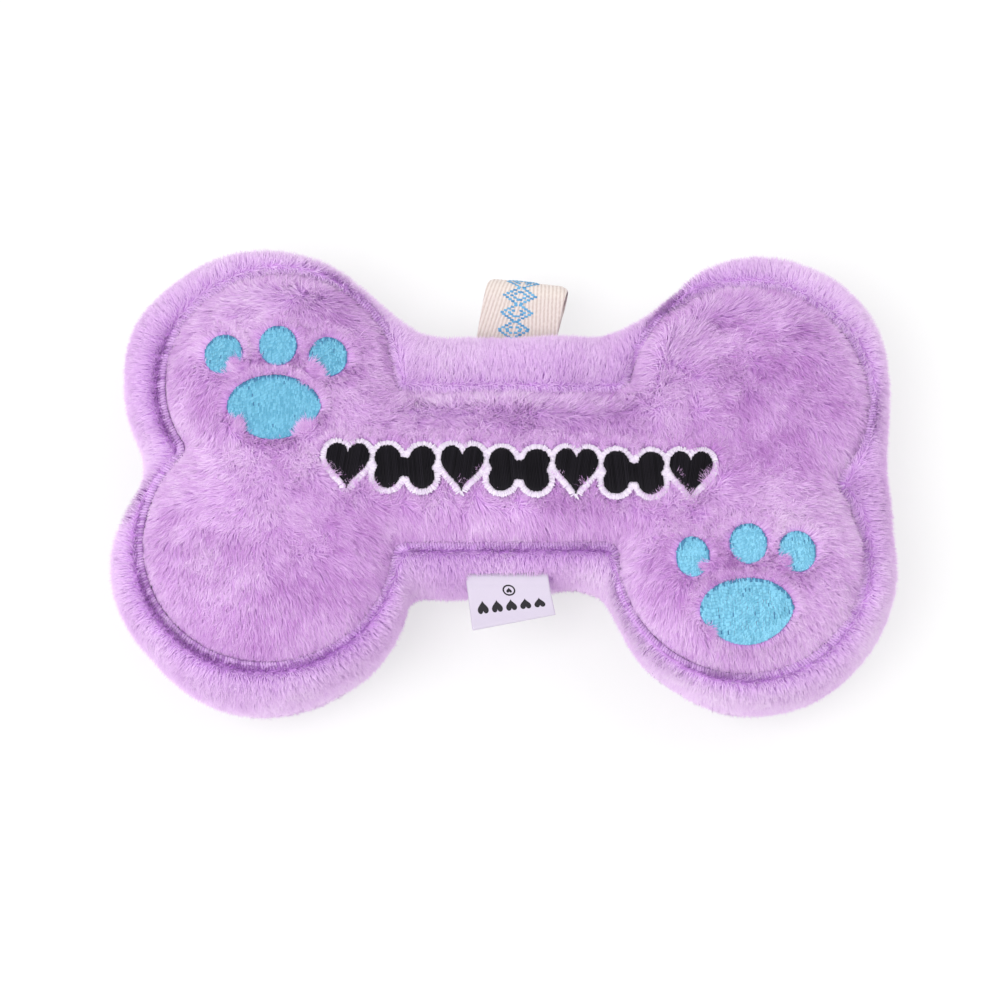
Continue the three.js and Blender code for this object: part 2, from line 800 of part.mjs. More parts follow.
// A thread along points, as a tube with a few flat sides.
function threadAlong(points, radius, steps) {
  const section = new THREE.Shape(
    new THREE.EllipseCurve(0, 0, radius, radius, 0, fullTurn).getPoints(threadSides).slice(0, threadSides),
  );
  const extrudePath = new THREE.CatmullRomCurve3(points, false, "centripetal");
  return new THREE.ExtrudeGeometry(section, { steps, extrudePath, bevelEnabled: false });
}

// The machine seam runs all round but for the opening that the toy was filled through, on the lower left lobe.
// That opening is closed by hand, with stitches that step over and under the seam.
function seamThreads() {
  const line = bodyRing(threadInset, seamHeight);
  const count = line.length;
  const openingStart = count - 2 * barSteps - 2 * cornerSteps - Math.round(openingFromShare * lobeSteps);
  const openingEnd = openingStart + Math.round(openingShare * lobeSteps);
  const machine = [...line.slice(openingEnd), ...line.slice(0, openingStart + 1)];
  place("perimeter_seam_thread", threadAlong(machine, threadRadius, machine.length - 1), lilacThread);

  const inner = bodyRing(closingInset, seamHeight);
  const span = openingEnd - openingStart;
  const clear = (4 * threadRadius * span) / inner[openingStart].distanceTo(inner[openingEnd]);
  const stitches = [];
  for (let k = 0; k <= 2 * closingStitches; k++) {
    const at = openingStart + THREE.MathUtils.lerp(clear, span - clear, k / (2 * closingStitches));
    const low = Math.floor(at);
    const point = inner[low].clone().lerp(inner[low + 1], at - low);
    stitches.push(point.setZ(seamHeight + (k % 2 === 0 ? closingStitchRise : -closingStitchRise)));
  }
  const closing = threadAlong(stitches, closingThreadRadius, 4 * closingStitches);
  place("closing_seam_thread", closing, lilacThread);
}

// The folded tape, as a section in its outward direction and height, extruded across the tape
function loopSection(length) {
  const middle = length - loopFoldRadius;
  const teardrop = (radius, rootHalf, rootAt) => {
    const away = Math.hypot(middle - rootAt, rootHalf);
    const tilt = Math.asin(Math.min(1, (radius - rootHalf) / away));
    const points = [];
    for (let k = 0; k <= foldSteps; k++) {
      const angle = THREE.MathUtils.lerp(-quarter - tilt, quarter + tilt, k / foldSteps);
      points.push(
        new THREE.Vector2(middle + radius * Math.cos(angle), radius * Math.sin(angle)),
      );
    }
    return points;
  };
  const outer = [
    new THREE.Vector2(gap, -tapePinchedHalf),
    ...teardrop(loopFoldRadius, tapePinchedHalf, 0),
    new THREE.Vector2(gap, tapePinchedHalf),
  ];
  const innerRoot = 2 * tapeThickness + gap;
  const inner = [new THREE.Vector2(innerRoot, 0), ...teardrop(loopFoldRadius - tapeThickness, 0, innerRoot)];
  const shape = new THREE.Shape(outer);
  shape.holes.push(new THREE.Path(inner));
  return shape;
}

// Leans the piece sideways as it runs outward and slopes its folded end, with its hinge line left straight.
function lean(geometry, length, outward, leanShare, skewShare) {
  const position = geometry.getAttribute("position");
  for (let i = 0; i < position.count; i++) {
    const x = position.getX(i);
    const run = outward * position.getY(i);
    position.setX(i, x + leanShare * run);
    position.setY(i, outward * (run - skewShare * outward * x * (run / length)));
  }
  return geometry;
}

// A section drawn in y and z and extruded along x, from one drawn in x and y and extruded along z
const acrossX = new THREE.Matrix4().makeBasis(
  new THREE.Vector3(0, 1, 0),
  new THREE.Vector3(0, 0, 1),
  new THREE.Vector3(1, 0, 0),
);

function ribbonLoop() {
  const length = loopLength - loopHingeOut;
  const hingeY = barTop + loopHingeOut;
  const geometry = new THREE.ExtrudeGeometry(loopSection(length), {
    depth: tapeWidth,
    bevelEnabled: false,
    curveSegments: 1,
  });
  geometry.applyMatrix4(acrossX).translate(-tapeWidth / 2, 0, 0);
  lean(geometry, length, 1, loopLeanShare, loopSkewShare);
  const hinge = new THREE.Group();
  hinge.position.set(tapeRun(hingeY), hingeY, seamHeight);
  place("ribbon_loop", geometry, twillTape, hinge);
  toy.add(hinge);
  const low = barTop - tailLength;
  const high = hingeY - tailClearance;
  const tail = leaningSlab(tapeRun, tapeWidth, low, high, () => seamHeight, 2 * tapeThickness);
  place("ribbon_loop_tail", tail, twillTape);
}

function sideLabel() {
  const length = labelLength - labelHingeOut;
  const hingeY = -barBottom - labelHingeOut;
  const half = labelThickness / 2;
  const slit = labelSlit / 2;
  const end = length - half;
  const slitEnd = length - labelThickness;
  const section = new THREE.Shape([
    new THREE.Vector2(gap, -half),
    new THREE.Vector2(end, labelRise - half),
    new THREE.Vector2(length, labelRise),
    new THREE.Vector2(end, labelRise + half),
    new THREE.Vector2(gap, half),
    new THREE.Vector2(gap, slit),
    new THREE.Vector2(slitEnd, labelRise + slit),
    new THREE.Vector2(slitEnd, labelRise - slit),
    new THREE.Vector2(gap, -slit),
  ]);
  const geometry = new THREE.ExtrudeGeometry(section, { depth: labelWidth, bevelEnabled: false });
  geometry.applyMatrix4(acrossX).translate(-labelWidth / 2, 0, 0);
  geometry.rotateZ(Math.PI);
  lean(geometry, length, -1, labelLeanShare, labelSkewShare);
  const hinge = new THREE.Group();
  hinge.position.set(labelRun(hingeY), hingeY, labelTailAt(-barBottom));
  place("side_label", geometry, satinLabel, hinge);
  toy.add(hinge);
  const low = hingeY + tailClearance + gap / 2;
  const high = tailLength - barBottom;
  const tail = leaningSlab(labelRun, labelWidth, low, high, labelTailAt, labelThickness);
  place("side_label_tail", tail, satinLabel);
}

// The squeaker: a blown bulb with a neck turned in, and a reed held in the neck
function squeaker() {
  const steps = 6;
  const outside = bulbSection(bulbRadius, bulbHalf, -quarter, quarter, 2 * steps);
  const inside = bulbSection(bulbRadius - bulbWall, bulbHalf - bulbWall, -quarter, quarter, 2 * steps);
  const floor = -bulbHalf;
  const neckOut = neckBore + neckWall;
  outside.at(-1).x = 0;
  inside.at(-1).x = 0;
  const bulb = [
    new THREE.Vector2(neckBore, floor),
    ...outside.slice(1),
    ...inside.slice(1).filter((p) => p.x > neckOut || p.y > 0).toReversed(),
    new THREE.Vector2(neckOut, floor + bulbWall),
    new THREE.Vector2(neckOut, floor + neckLength),
    new THREE.Vector2(neckBore, floor + neckLength),
    new THREE.Vector2(neckBore, floor),
  ];
  place("squeaker_bulb", stand(lathe(bulb)), bulbPlastic);

  const sleeve = neckBore - gap;
  const holderLow = floor - holderFlangeThickness;
  const holder = [
    new THREE.Vector2(holderBore, holderLow),
    new THREE.Vector2(holderFlangeRadius, holderLow),
    new THREE.Vector2(holderFlangeRadius, floor - gap / 3),
    new THREE.Vector2(sleeve, floor - gap / 3),
    new THREE.Vector2(sleeve, floor + neckLength),
    new THREE.Vector2(holderBore, floor + neckLength),
    new THREE.Vector2(holderBore, holderLow),
  ];
  place("reed_holder", stand(lathe(holder)), reedPlastic);
  reed(holderLow, floor + neckLength);
}

// The reed stands between a channelled seat and a clamp, which are half rounds in the holder's bore.
function reed(low, high) {
  const radius = holderBore - gap;
  const height = high - low;
  const toBase = (geometry) => geometry.translate(squeakerX, squeakerY, squeakerHeight + low);
  const halfRound = (faceY, side, tall) => {
    const from = Math.asin(faceY / radius);
    const points = [];
    for (let k = 0; k <= foldSteps; k++) {
      const angle = THREE.MathUtils.lerp(from, Math.PI - from, k / foldSteps);
      points.push(new THREE.Vector2(radius * Math.cos(angle), side * radius * Math.sin(angle)));
    }
    return prism(side > 0 ? points : points.toReversed(), tall);
  };
  const faceOfSeat = reedThickness / 2 + reedClearance;
  const channelTool = new THREE.CylinderGeometry(
    airChannelRadius, airChannelRadius, height, foldSteps,
  ).rotateX(quarter).translate(0, -faceOfSeat, height / 2 - height / 3);
  const seat = cut(halfRound(faceOfSeat, -1, height), [channelTool]);
  place("reed_seat", toBase(seat), reedPlastic);
  const clampHeight = (height * 2) / 5;
  const faceOfClamp = reedThickness / 2 + gap;
  place("reed_clamp", toBase(halfRound(faceOfClamp, 1, clampHeight)), reedPlastic);
  const reedLow = clampHeight - reedTail;
  const tongue = block(
    -reedWidth / 2, reedWidth / 2, -reedThickness / 2, reedThickness / 2, reedLow, reedLow + reedLength,
  );
  place("reed_tongue", toBase(tongue), reedPlastic);
}

function pouch() {
  const steps = 5;
  const cloth = (from, to, side) => {
    const face = (side * gap) / 2;
    const out = bulbSection(pouchRadius + clothThickness, pouchHalf + clothThickness, from, to, steps);
    const inn = bulbSection(pouchRadius, pouchHalf, from, to, steps);
    out.at(-1).x = 0;
    inn.at(-1).x = 0;
    const profile = [
      new THREE.Vector2(pouchRadius, face),
      new THREE.Vector2(pouchRim, face),
      new THREE.Vector2(pouchRim, face + side * clothThickness),
      new THREE.Vector2(pouchRadius + clothThickness, face + side * clothThickness),
      ...out.slice(1),
      ...inn.slice(1).toReversed(),
      new THREE.Vector2(pouchRadius, face),
    ];
    return stand(lathe(side > 0 ? profile : profile.toReversed()));
  };
  place("pouch_front", cloth(0, quarter, 1), pouchCloth);
  place("pouch_back", cloth(0, -quarter, -1), pouchCloth);
  const stitch = [];
  const stitchRadius = pouchRim - pouchFlange / 2;
  const level = gap / 2 + clothThickness + gap / 3 + pouchThreadRadius;
  for (let k = 0; k <= threadSides; k++) {
    const angle = (k / threadSides) * fullTurn;
    stitch.push(
      new THREE.Vector2(
        stitchRadius + pouchThreadRadius * Math.cos(angle),
        level + pouchThreadRadius * Math.sin(angle),
      ),
    );
  }
  place("pouch_stitch", stand(lathe(stitch)), lilacThread);
}

place("back_panel", backPanel(), backPlush);
place("front_panel", frontPanel(), plush);
seamThreads();
place("fibre_fill_back", fillBack(), fibreFill);
place("fibre_fill_front", fillFront(), fibreFill);

const patches = embroidery();
const row = motifRow();
place("inner_bone", innerPad([...patches.map((patch) => patch.well), row.well]), innerPlush);
place("inner_bone_satin_border", satinBorder(), lilacThread);
for (const patch of patches) {
  place(patch.name, patch.body, patch.material, patch.seat);
  toy.add(patch.seat);
}
place("motif_border", row.border, whiteThread, row.seat);
for (const motif of row.motifs) {
  place(motif.name, motif.body, blackThread, row.seat);
}
toy.add(row.seat);

ribbonLoop();
sideLabel();
pouch();
squeaker();

// The middle of the outline's length and width comes to the origin.
const reachOf = (pick) => {
  const values = outlineAt(bodyArcs).map(pick);
  return (Math.min(...values) + Math.max(...values)) / 2;
};
toy.position.set(-reachOf((p) => p.x), -reachOf((p) => p.y), 0);

const part = new THREE.Group();
part.add(toy);
export default part;
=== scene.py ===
"""A squeaky plush bone for dogs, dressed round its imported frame. Sizes are in millimetres unless a name says otherwise."""

import math

import bmesh
import bpy
import numpy as np
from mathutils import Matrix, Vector, geometry, kdtree

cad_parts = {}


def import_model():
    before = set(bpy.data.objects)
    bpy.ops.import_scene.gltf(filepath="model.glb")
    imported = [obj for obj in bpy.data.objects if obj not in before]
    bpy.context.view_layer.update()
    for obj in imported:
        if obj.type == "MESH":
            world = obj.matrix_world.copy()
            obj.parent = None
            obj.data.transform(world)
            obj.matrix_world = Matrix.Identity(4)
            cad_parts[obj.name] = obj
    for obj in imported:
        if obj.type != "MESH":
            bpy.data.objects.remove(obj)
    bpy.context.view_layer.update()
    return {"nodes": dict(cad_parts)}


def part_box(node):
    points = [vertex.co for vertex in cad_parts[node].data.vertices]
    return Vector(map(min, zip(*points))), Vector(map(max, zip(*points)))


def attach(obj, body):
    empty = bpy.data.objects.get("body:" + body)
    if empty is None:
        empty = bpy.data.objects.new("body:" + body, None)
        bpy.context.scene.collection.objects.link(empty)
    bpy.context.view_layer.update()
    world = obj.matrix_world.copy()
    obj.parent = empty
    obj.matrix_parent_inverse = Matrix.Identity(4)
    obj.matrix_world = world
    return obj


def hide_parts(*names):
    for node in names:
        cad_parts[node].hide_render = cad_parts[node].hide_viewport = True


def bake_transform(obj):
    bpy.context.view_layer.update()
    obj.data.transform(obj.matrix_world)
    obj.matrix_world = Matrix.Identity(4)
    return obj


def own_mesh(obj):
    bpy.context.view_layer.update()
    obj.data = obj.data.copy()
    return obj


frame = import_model()

MM = 0.001
FULL_TURN = 2 * math.pi
WHITE = (1, 1, 1, 1)
rng = np.random.default_rng(7)


# --- numbers and lines
def unit(v):
    return v / np.maximum(np.linalg.norm(v, axis=-1, keepdims=True), 1e-9)


def smooth(x, low, high):
    t = np.clip((np.asarray(x, float) - low) / (high - low), 0, 1)
    return t * t * (3 - 2 * t)


def hashed(ix, iy, iz, seed):
    h = (ix * 374761393 + iy * 668265263 + iz * 2147483647 + seed * 1274126177) & 0xFFFFFFFF
    h = ((h ^ (h >> 13)) * 1103515245) & 0xFFFFFFFF
    h = ((h ^ (h >> 16)) * 2246822519) & 0xFFFFFFFF
    return ((h ^ (h >> 15)) & 0xFFFFFF) / 0xFFFFFF * 2 - 1


def blend_corners(f, value):
    """What value gives at the corners round a point, weighed by the point's place f between them."""
    total = 0
    for corner in np.ndindex(*(2,) * f.shape[1]):
        weight = 1
        for axis, far in enumerate(corner):
            weight = weight * (f[:, axis] if far else 1 - f[:, axis])
        total = total + weight * value(*corner)
    return total


def wave(points, size, seed):
    """Smooth noise from -1 to 1 at points, about size millimetres a bump."""
    p = points / size + 100.0
    i = np.floor(p).astype(np.int64)
    f = p - i
    f = f * f * (3 - 2 * f)
    return blend_corners(f, lambda dx, dy, dz: hashed(i[:, 0] + dx, i[:, 1] + dy, i[:, 2] + dz, seed))


def waves(points, *terms):
    """Several waves added up, each given as its height, size and seed."""
    return sum(height * wave(points, size, seed) for height, size, seed in terms)


def swirl(p, size, seed):
    """A direction that turns slowly from place to place."""
    return np.stack([wave(p, size, seed), wave(p, size, seed + 1)], 1)


def lift(points, z):
    """Points of a plane, at the height z."""
    return np.column_stack([points, np.broadcast_to(z, len(points))])


def bell(points, x, y, size):
    """One at a place, and ever less away from it."""
    return np.exp(-((points[:, :2] - (x, y)) ** 2).sum(1) / size**2)


def rotated(points, angle):
    c, s = math.cos(angle), math.sin(angle)
    return np.stack([points[:, 0] * c - points[:, 1] * s, points[:, 0] * s + points[:, 1] * c], 1)


def run_along(line):
    """How far along a line each of its points lies."""
    return np.concatenate([[0], np.cumsum(np.linalg.norm(np.diff(line, axis=0), axis=1))])


def read_off(line, run, places):
    return np.stack([np.interp(places, run, column) for column in line.T], 1)


def evenly(line, step):
    """Points at even steps along a line, and how far along it they lie."""
    run = run_along(line)
    keep = np.concatenate([[True], np.diff(run) > 1e-6])
    line, run = line[keep], run[keep]
    places = np.linspace(0, run[-1], int(run[-1] / step) + 1)
    return read_off(line, run, places), places


def right_of(along):
    return np.stack([along[:, 1], -along[:, 0]], 1)


def to_the_left(path):
    return -right_of(unit(np.gradient(path, axis=0)))


def along_ring(ring, pitch, spare=0.5):
    """Points a pitch apart round a ring, and the directions along it and out of it."""
    closed = np.concatenate([ring, ring[:1]])
    run = run_along(closed)
    line = read_off(closed, run, np.arange(0, run[-1] - pitch * spare, pitch))
    along = unit(np.roll(line, -2, 0) - np.roll(line, 2, 0))
    return line, along, right_of(along)


def curve_through(points, count):
    """Points along a smooth line through the given ones."""
    p = np.asarray(points, float)
    p = np.concatenate([2 * p[:1] - p[1:2], p, 2 * p[-1:] - p[-2:-1]])
    out = []
    for s in np.linspace(0, len(p) - 3, count):
        k = min(int(s), len(p) - 4)
        t = s - k
        a, b, c, d = p[k:k + 4]
        out.append(0.5 * (2 * b + (c - a) * t + (2 * a - 5 * b + 4 * c - d) * t**2 + (3 * b - a - 3 * c + d) * t**3))
    return np.array(out)


# --- outlines
SHIFT = np.array([-0.5, 0.18])
BODY_LOBES = [(67.85, -27.5, 38.0), (69.96, 27.3, 35.3), (-65.08, 27.3, 37.9), (-64.28, -25.28, 40.5)]
INNER_LOBES = [(63.38, -24.52, 31.9), (66.4, 19.31, 32.0), (-59.85, 24.52, 30.6), (-61.99, -20.38, 33.0)]


def bone_arcs(lobes, top, bottom, fillets, steps):
    """A bone's outline as lobes, hollows and bars, in turn to the left from the lower right lobe."""
    lr, ur, ul, ll = lobes
    f_top, f_bottom, f_left, f_right = fillets
    n_lobe, n_corner, n_end, n_bar = steps

    def corner(lobe, edge, fillet, side, outward):
        y = edge + outward * fillet
        return lobe[0] - side * math.sqrt((lobe[2] + fillet) ** 2 - (y - lobe[1]) ** 2), y, fillet

    def end(a, b, fillet, side):
        ra, rb = a[2] + fillet, b[2] + fillet
        d = math.hypot(b[0] - a[0], b[1] - a[1])
        along = (ra**2 - rb**2 + d**2) / (2 * d)
        off = math.sqrt(ra**2 - along**2) * side
        ux, uy = (b[0] - a[0]) / d, (b[1] - a[1]) / d
        return a[0] + ux * along + uy * off, a[1] + uy * along - ux * off, fillet

    def angle(circle, other):
        if other is None:
            return -math.copysign(math.pi / 2, circle[1])
        return math.atan2(other[1] - circle[1], other[0] - circle[0])

    bar = (None, n_bar)
    circles = [
        (lr, n_lobe), (end(lr, ur, f_right, 1), n_end), (ur, n_lobe), (corner(ur, top, f_top, 1, 1), n_corner), bar,
        (corner(ul, top, f_top, -1, 1), n_corner), (ul, n_lobe), (end(ll, ul, f_left, -1), n_end), (ll, n_lobe),
        (corner(ll, bottom, f_bottom, -1, -1), n_corner), bar, (corner(lr, bottom, f_bottom, 1, -1), n_corner),
    ]
    arcs = []
    for k, (circle, count) in enumerate(circles):
        side = 1 if circle in lobes else -1
        a0 = a1 = 0
        if circle:
            a0, a1 = angle(circle, circles[k - 1][0]), angle(circle, circles[(k + 1) % len(circles)][0])
            if (a1 - a0) * side <= 0:
                a1 += side * FULL_TURN
        arcs.append(dict(circle=circle, side=side, a0=a0, a1=a1, steps=count))
    return arcs


def arc_point(arc, share, inset):
    x, y, r = arc["circle"]
    r -= inset * arc["side"]
    a = arc["a0"] + (arc["a1"] - arc["a0"]) * share
    return np.array([x + r * math.cos(a), y + r * math.sin(a)])


SETTLED = [
    (-31.9, 45.4, 11, 2.2), (49.6, 55.3, 9, -2.0), (94.7, 51.0, 16, 1.2), (104.1, 15.0, 12, 1.5),
    (104.7, -6.2, 12, 1.7), (96.0, -49.7, 20, -1.3), (28.7, -34.7, 7, 2.2), (35.4, -46.1, 9, 1.0),
    (18.5, -29.0, 8, -1.9), (-14.4, -30.5, 9, 0.9), (-31.9, -46.1, 14, 1.0), (-93.9, -51.7, 18, -2.2),
    (-103.3, -9.0, 10, -1.8), (-100.6, 41.5, 10, 0.6), (-70.9, 62.3, 16, -0.7), (13.9, 40.6, 8, 0.8),
    (35.4, 42.6, 6, 0.7),
]


def settle(points):
    """The stuffed outline as it lies: each (x, y, reach, outward) pushes it out or in near one place."""
    out = right_of(unit(np.roll(points, -1, 0) - np.roll(points, 1, 0)))
    push = sum(far * bell(points, x, y, reach) for x, y, reach, far in SETTLED)
    return points + out * push[:, None]


def outline_at(arcs, inset):
    points = []
    for i, arc in enumerate(arcs):
        for share in np.arange(arc["steps"]) / arc["steps"]:
            if arc["circle"]:
                points.append(arc_point(arc, share, inset))
            else:
                a, b = arc_point(arcs[i - 1], 1, inset), arc_point(arcs[i + 1], 0, inset)
                points.append(a + (b - a) * share)
    points = np.array(points) + SHIFT
    return settle(points) if arcs is BODY else points


STEPS = (44, 8, 8, 26)
BODY = bone_arcs(BODY_LOBES, top=40.0, bottom=-32.2, fillets=(24.0, 6.0, 16.0, 110.0), steps=STEPS)
INNER = bone_arcs(INNER_LOBES, top=21.0, bottom=-20.4, fillets=(4.0, 4.0, 4.0, 4.0), steps=STEPS)
INNER_EDGE = outline_at(INNER, 0)
BODY_EDGE = outline_at(BODY, 0)


def edge_distance(points, outline, chunk=4000):
    """How far each point lies inside the outline (negative outside), and the direction out of it."""
    a, b = outline, np.roll(outline, -1, 0)
    ab = b - a
    slope = ab[:, 0] / np.where(ab[:, 1] == 0, 1e-9, ab[:, 1])
    inset, out = np.empty(len(points)), np.empty((len(points), 2))
    for s in range(0, len(points), chunk):
        p = points[s:s + chunk, None, :2]
        t = np.clip(((p - a) * ab).sum(2) / (ab * ab).sum(1), 0, 1)
        square = ((a + t[..., None] * ab - p) ** 2).sum(2)
        nearest = square.argmin(1)
        gap = np.sqrt(square[np.arange(len(nearest)), nearest])
        x, y = p[..., 0], p[..., 1]
        crossed = ((a[:, 1] <= y) != (b[:, 1] <= y)) & (x < a[:, 0] + (y - a[:, 1]) * slope)
        inset[s:s + chunk] = np.where(crossed.sum(1) % 2 == 1, gap, -gap)
        out[s:s + chunk] = unit(right_of(ab[nearest]))
    return inset, out


class Field:
    """Distances and directions worked out once on a fine grid, and read off between its points."""
    LOW, STEP, SHAPE = np.array([-112.0, -72.0]), 0.6, (375, 241)

    def __init__(self, measure):
        i, j = np.meshgrid(*(np.arange(n) for n in self.SHAPE), indexing="ij")
        plan = self.LOW + np.stack([i.ravel(), j.ravel()], 1) * self.STEP
        self.table = np.column_stack(measure(plan)).reshape(*self.SHAPE, 3)

    def __call__(self, points):
        q = np.clip((points[:, :2] - self.LOW) / self.STEP, 0, np.array(self.SHAPE) - 1.001)
        i = q.astype(int)
        total = blend_corners((q - i)[:, :, None], lambda dx, dy: self.table[i[:, 0] + dx, i[:, 1] + dy])
        return total[:, 0], unit(total[:, 1:])


# --- materials
def srgb(r, g, b):
    def lin(c):
        c /= 255
        return c / 12.92 if c <= 0.04045 else ((c + 0.055) / 1.055) ** 2.4
    return (lin(r), lin(g), lin(b), 1)


def wire(tree, node, sockets):
    """Sets each of a node's sockets to a value, or links it to the output that feeds it."""
    for key, value in sockets.items():
        if isinstance(value, bpy.types.NodeSocket):
            tree.links.new(value, node.inputs[key])
        else:
            node.inputs[key].default_value = value


def add(tree, kind, sockets=None, **settings):
    node = tree.nodes.new("ShaderNode" + kind)
    for key, value in settings.items():
        setattr(node, key, value)
    wire(tree, node, sockets or {})
    return node


def material(name, roughness, sheen=0.0, specular=0.3):
    """A new material, its node tree and its shader."""
    m = bpy.data.materials.new(name)
    m.use_nodes = True
    shader = m.node_tree.nodes["Principled BSDF"]
    values = {"Roughness": roughness, "Specular IOR Level": specular, "Sheen Weight": sheen, "Sheen Tint": WHITE}
    wire(m.node_tree, shader, values)
    return m, m.node_tree, shader


def ramp(tree, level, *stops):
    """Colour by a level from 0 to 1. Each stop is a place and a colour: three sRGB bytes, or one linear grey."""
    stops = [(at, srgb(*color) if isinstance(color, tuple) else (color, color, color, 1)) for at, color in stops]
    node = add(tree, "ValToRGB", {0: level})
    ends = node.color_ramp.elements
    for element, (at, color) in ((ends[0], stops[0]), (ends[1], stops[-1])):
        element.position, element.color = at, color
    for at, color in stops[1:-1]:
        ends.new(at).color = color
    return node.outputs["Color"]


def bake_map(tree):
    """The OFBake map's vector, and its two coordinates."""
    uv = add(tree, "UVMap", uv_map="OFBake").outputs["UV"]
    split = add(tree, "SeparateXYZ", {0: uv})
    return uv, split.outputs["X"], split.outputs["Y"]


def noise(tree, scale, detail):
    place = add(tree, "TexCoord").outputs["Object"]
    return add(tree, "TexNoise", {"Vector": place, "Scale": scale, "Detail": detail}).outputs["Fac"]


def finish(tree, shader, color, height, strength, depth=0.1):
    """Gives a shader its colour, and relief of a height."""
    bump = add(tree, "Bump", {"Height": height, "Strength": strength, "Distance": depth * MM})
    wire(tree, shader, {"Base Color": color, "Normal": bump.outputs["Normal"]})


def fur_material(name, tips, roots):
    """Colour runs from a darker root, painted shade low in the pile, to a pale tip along v, and from strand to strand
    along u.
    """
    m, tree, shader = material(name, roughness=0.8, sheen=0.12, specular=0.2)
    _, u, v = bake_map(tree)
    share = ramp(tree, v, (0.0, 0), (0.3, 0.35), (0.75, 0.9), (1.0, 1))
    sockets = {"Factor": share, 6: ramp(tree, u, *roots), 7: ramp(tree, u, *tips)}
    wire(tree, shader, {"Base Color": add(tree, "Mix", sockets, data_type="RGBA").outputs[2]})
    return m


def grain_material(name, dark, light, size, roughness, bump, **more):
    """Two shades that change in grains of one size, with relief."""
    look = dict(sheen=0.2, specular=0.2, detail=3, spread=0.2, depth=0.3) | more
    m, tree, shader = material(name, roughness, look["sheen"], look["specular"])
    grain = noise(tree, 1 / (size * MM), look["detail"])
    shades = ramp(tree, grain, (0.5 - look["spread"], dark), (0.5 + look["spread"], light))
    finish(tree, shader, shades, grain, bump, look["depth"])
    return m


def thread_material(name, dark, light, roughness=0.45, sheen=0.25, painted_shade=None, specular=0.4):
    """Lustrous thread: its shade runs from stitch to stitch along u, with a fine twist."""
    m, tree, shader = material(name, roughness, sheen, specular)
    # The darkest stop is painted shade, for stitches sunk in shadow.
    stops = [(0.0, painted_shade), (0.22, dark), (1.0, light)] if painted_shade else [(0.0, dark), (1.0, light)]
    twist = noise(tree, scale=4200, detail=2)
    finish(tree, shader, ramp(tree, bake_map(tree)[1], *stops), twist, strength=0.25)
    return m


# Each root ramp is darker than its tip ramp: painted shade low in the pile.
FUR_TIPS = [(0.0, (217, 168, 229)), (0.35, (236, 198, 244)), (0.7, (246, 218, 252)), (1.0, (252, 233, 255))]
FUR_ROOTS = [(0.0, (200, 144, 220)), (0.5, (216, 164, 234)), (1.0, (230, 184, 244))]
# The inner pile's ramps are darker and pinker than the outer pile's. The outer pile's paleness is painted light on
# the rim's side-on strands.
INNER_TIPS = [(0.0, (198, 134, 211)), (0.35, (223, 176, 233)), (0.7, (237, 202, 244)), (1.0, (248, 224, 252))]
INNER_ROOTS = [(0.0, (196, 134, 213)), (0.5, (214, 159, 229)), (1.0, (228, 182, 241))]
fur_mat = fur_material("plush_pile", FUR_TIPS, FUR_ROOTS)
inner_fur_mat = fur_material("inner_pile", INNER_TIPS, INNER_ROOTS)
back_fur_mat = fur_material("back_pile", FUR_TIPS, FUR_ROOTS)
backing_mat = grain_material("knit_backing", (190, 138, 208), (212, 162, 227), size=1.4, roughness=0.9, bump=0.3)
# Turquoise's darkest colour is a painted shadow along the patches' upper edges and on a few sunk stitches.
turquoise = thread_material("turquoise_rayon", (84, 160, 192), (140, 210, 236), painted_shade=(52, 108, 152))
black = thread_material("black_rayon", (12, 10, 15), (30, 27, 34), roughness=0.6, sheen=0.0, specular=0.12)
white = thread_material("white_rayon", (218, 204, 226), (240, 232, 244), roughness=0.5)
lilac = thread_material("lilac_rayon", (186, 134, 206), (230, 194, 242), roughness=0.5, sheen=0.1, specular=0.25)


# --- mesh making
def new_object(name, vertices, faces, mat):
    me = bpy.data.meshes.new(name)
    me.from_pydata(np.asarray(vertices, float) * MM, [], faces)
    me.validate()
    me.update()
    me.shade_smooth()
    me.materials.append(mat)
    o = bpy.data.objects.new(name, me)
    bpy.context.scene.collection.objects.link(o)
    return o


def apply_modifiers(o):
    old, graph = o.data, bpy.context.evaluated_depsgraph_get()
    me = bpy.data.meshes.new_from_object(o.evaluated_get(graph))
    o.modifiers.clear()
    o.data = me
    me.name = o.name
    bpy.data.meshes.remove(old)


def read(items, name, width=3, kind=float):
    """One attribute of a mesh's vertices, faces or corners, a row for each."""
    values = np.empty(len(items) * width, kind)
    items.foreach_get(name, values)
    return values.reshape(-1, width)


def coordinates(o):
    return read(o.data.vertices, "co") / MM


def move_to(o, points):
    o.data.vertices.foreach_set("co", (points * MM).ravel())
    o.data.update()


def put_uv(o, uv):
    """One place in the OFBake map for each vertex."""
    corner = read(o.data.loops, "vertex_index", 1, np.int64)[:, 0]
    o.data.uv_layers.new(name="OFBake").data.foreach_set("uv", np.asarray(uv, np.float32)[corner].ravel())


def subdivide(o, kind="CATMULL_CLARK", levels=1):
    mod = o.modifiers.new("fine", "SUBSURF")
    mod.subdivision_type = kind
    mod.levels = mod.render_levels = levels
    apply_modifiers(o)


def loft(rings, closed=False):
    """Bands of quads from each ring of points to the next, and back to the first where it is closed."""
    n = len(rings[0])
    i = np.arange(n)
    j = (i + 1) % n
    faces = []
    for r in range(len(rings) if closed else len(rings) - 1):
        a, b = r * n, ((r + 1) % len(rings)) * n
        faces.append(np.stack([a + i, a + j, b + j, b + i], 1))
    return np.concatenate(rings), np.concatenate(faces)


def triangulated(outline, within=()):
    """Triangles inside an outline and over the points within it, the outline's points first."""
    n = len(outline)
    edges = [(k, (k + 1) % n) for k in range(n)]
    got = geometry.delaunay_2d_cdt([Vector(q) for q in (*outline, *within)], edges, [list(range(n))], 1, 1e-6)
    return np.array([tuple(q) for q in got[0]]), [list(face) for face in got[2]]


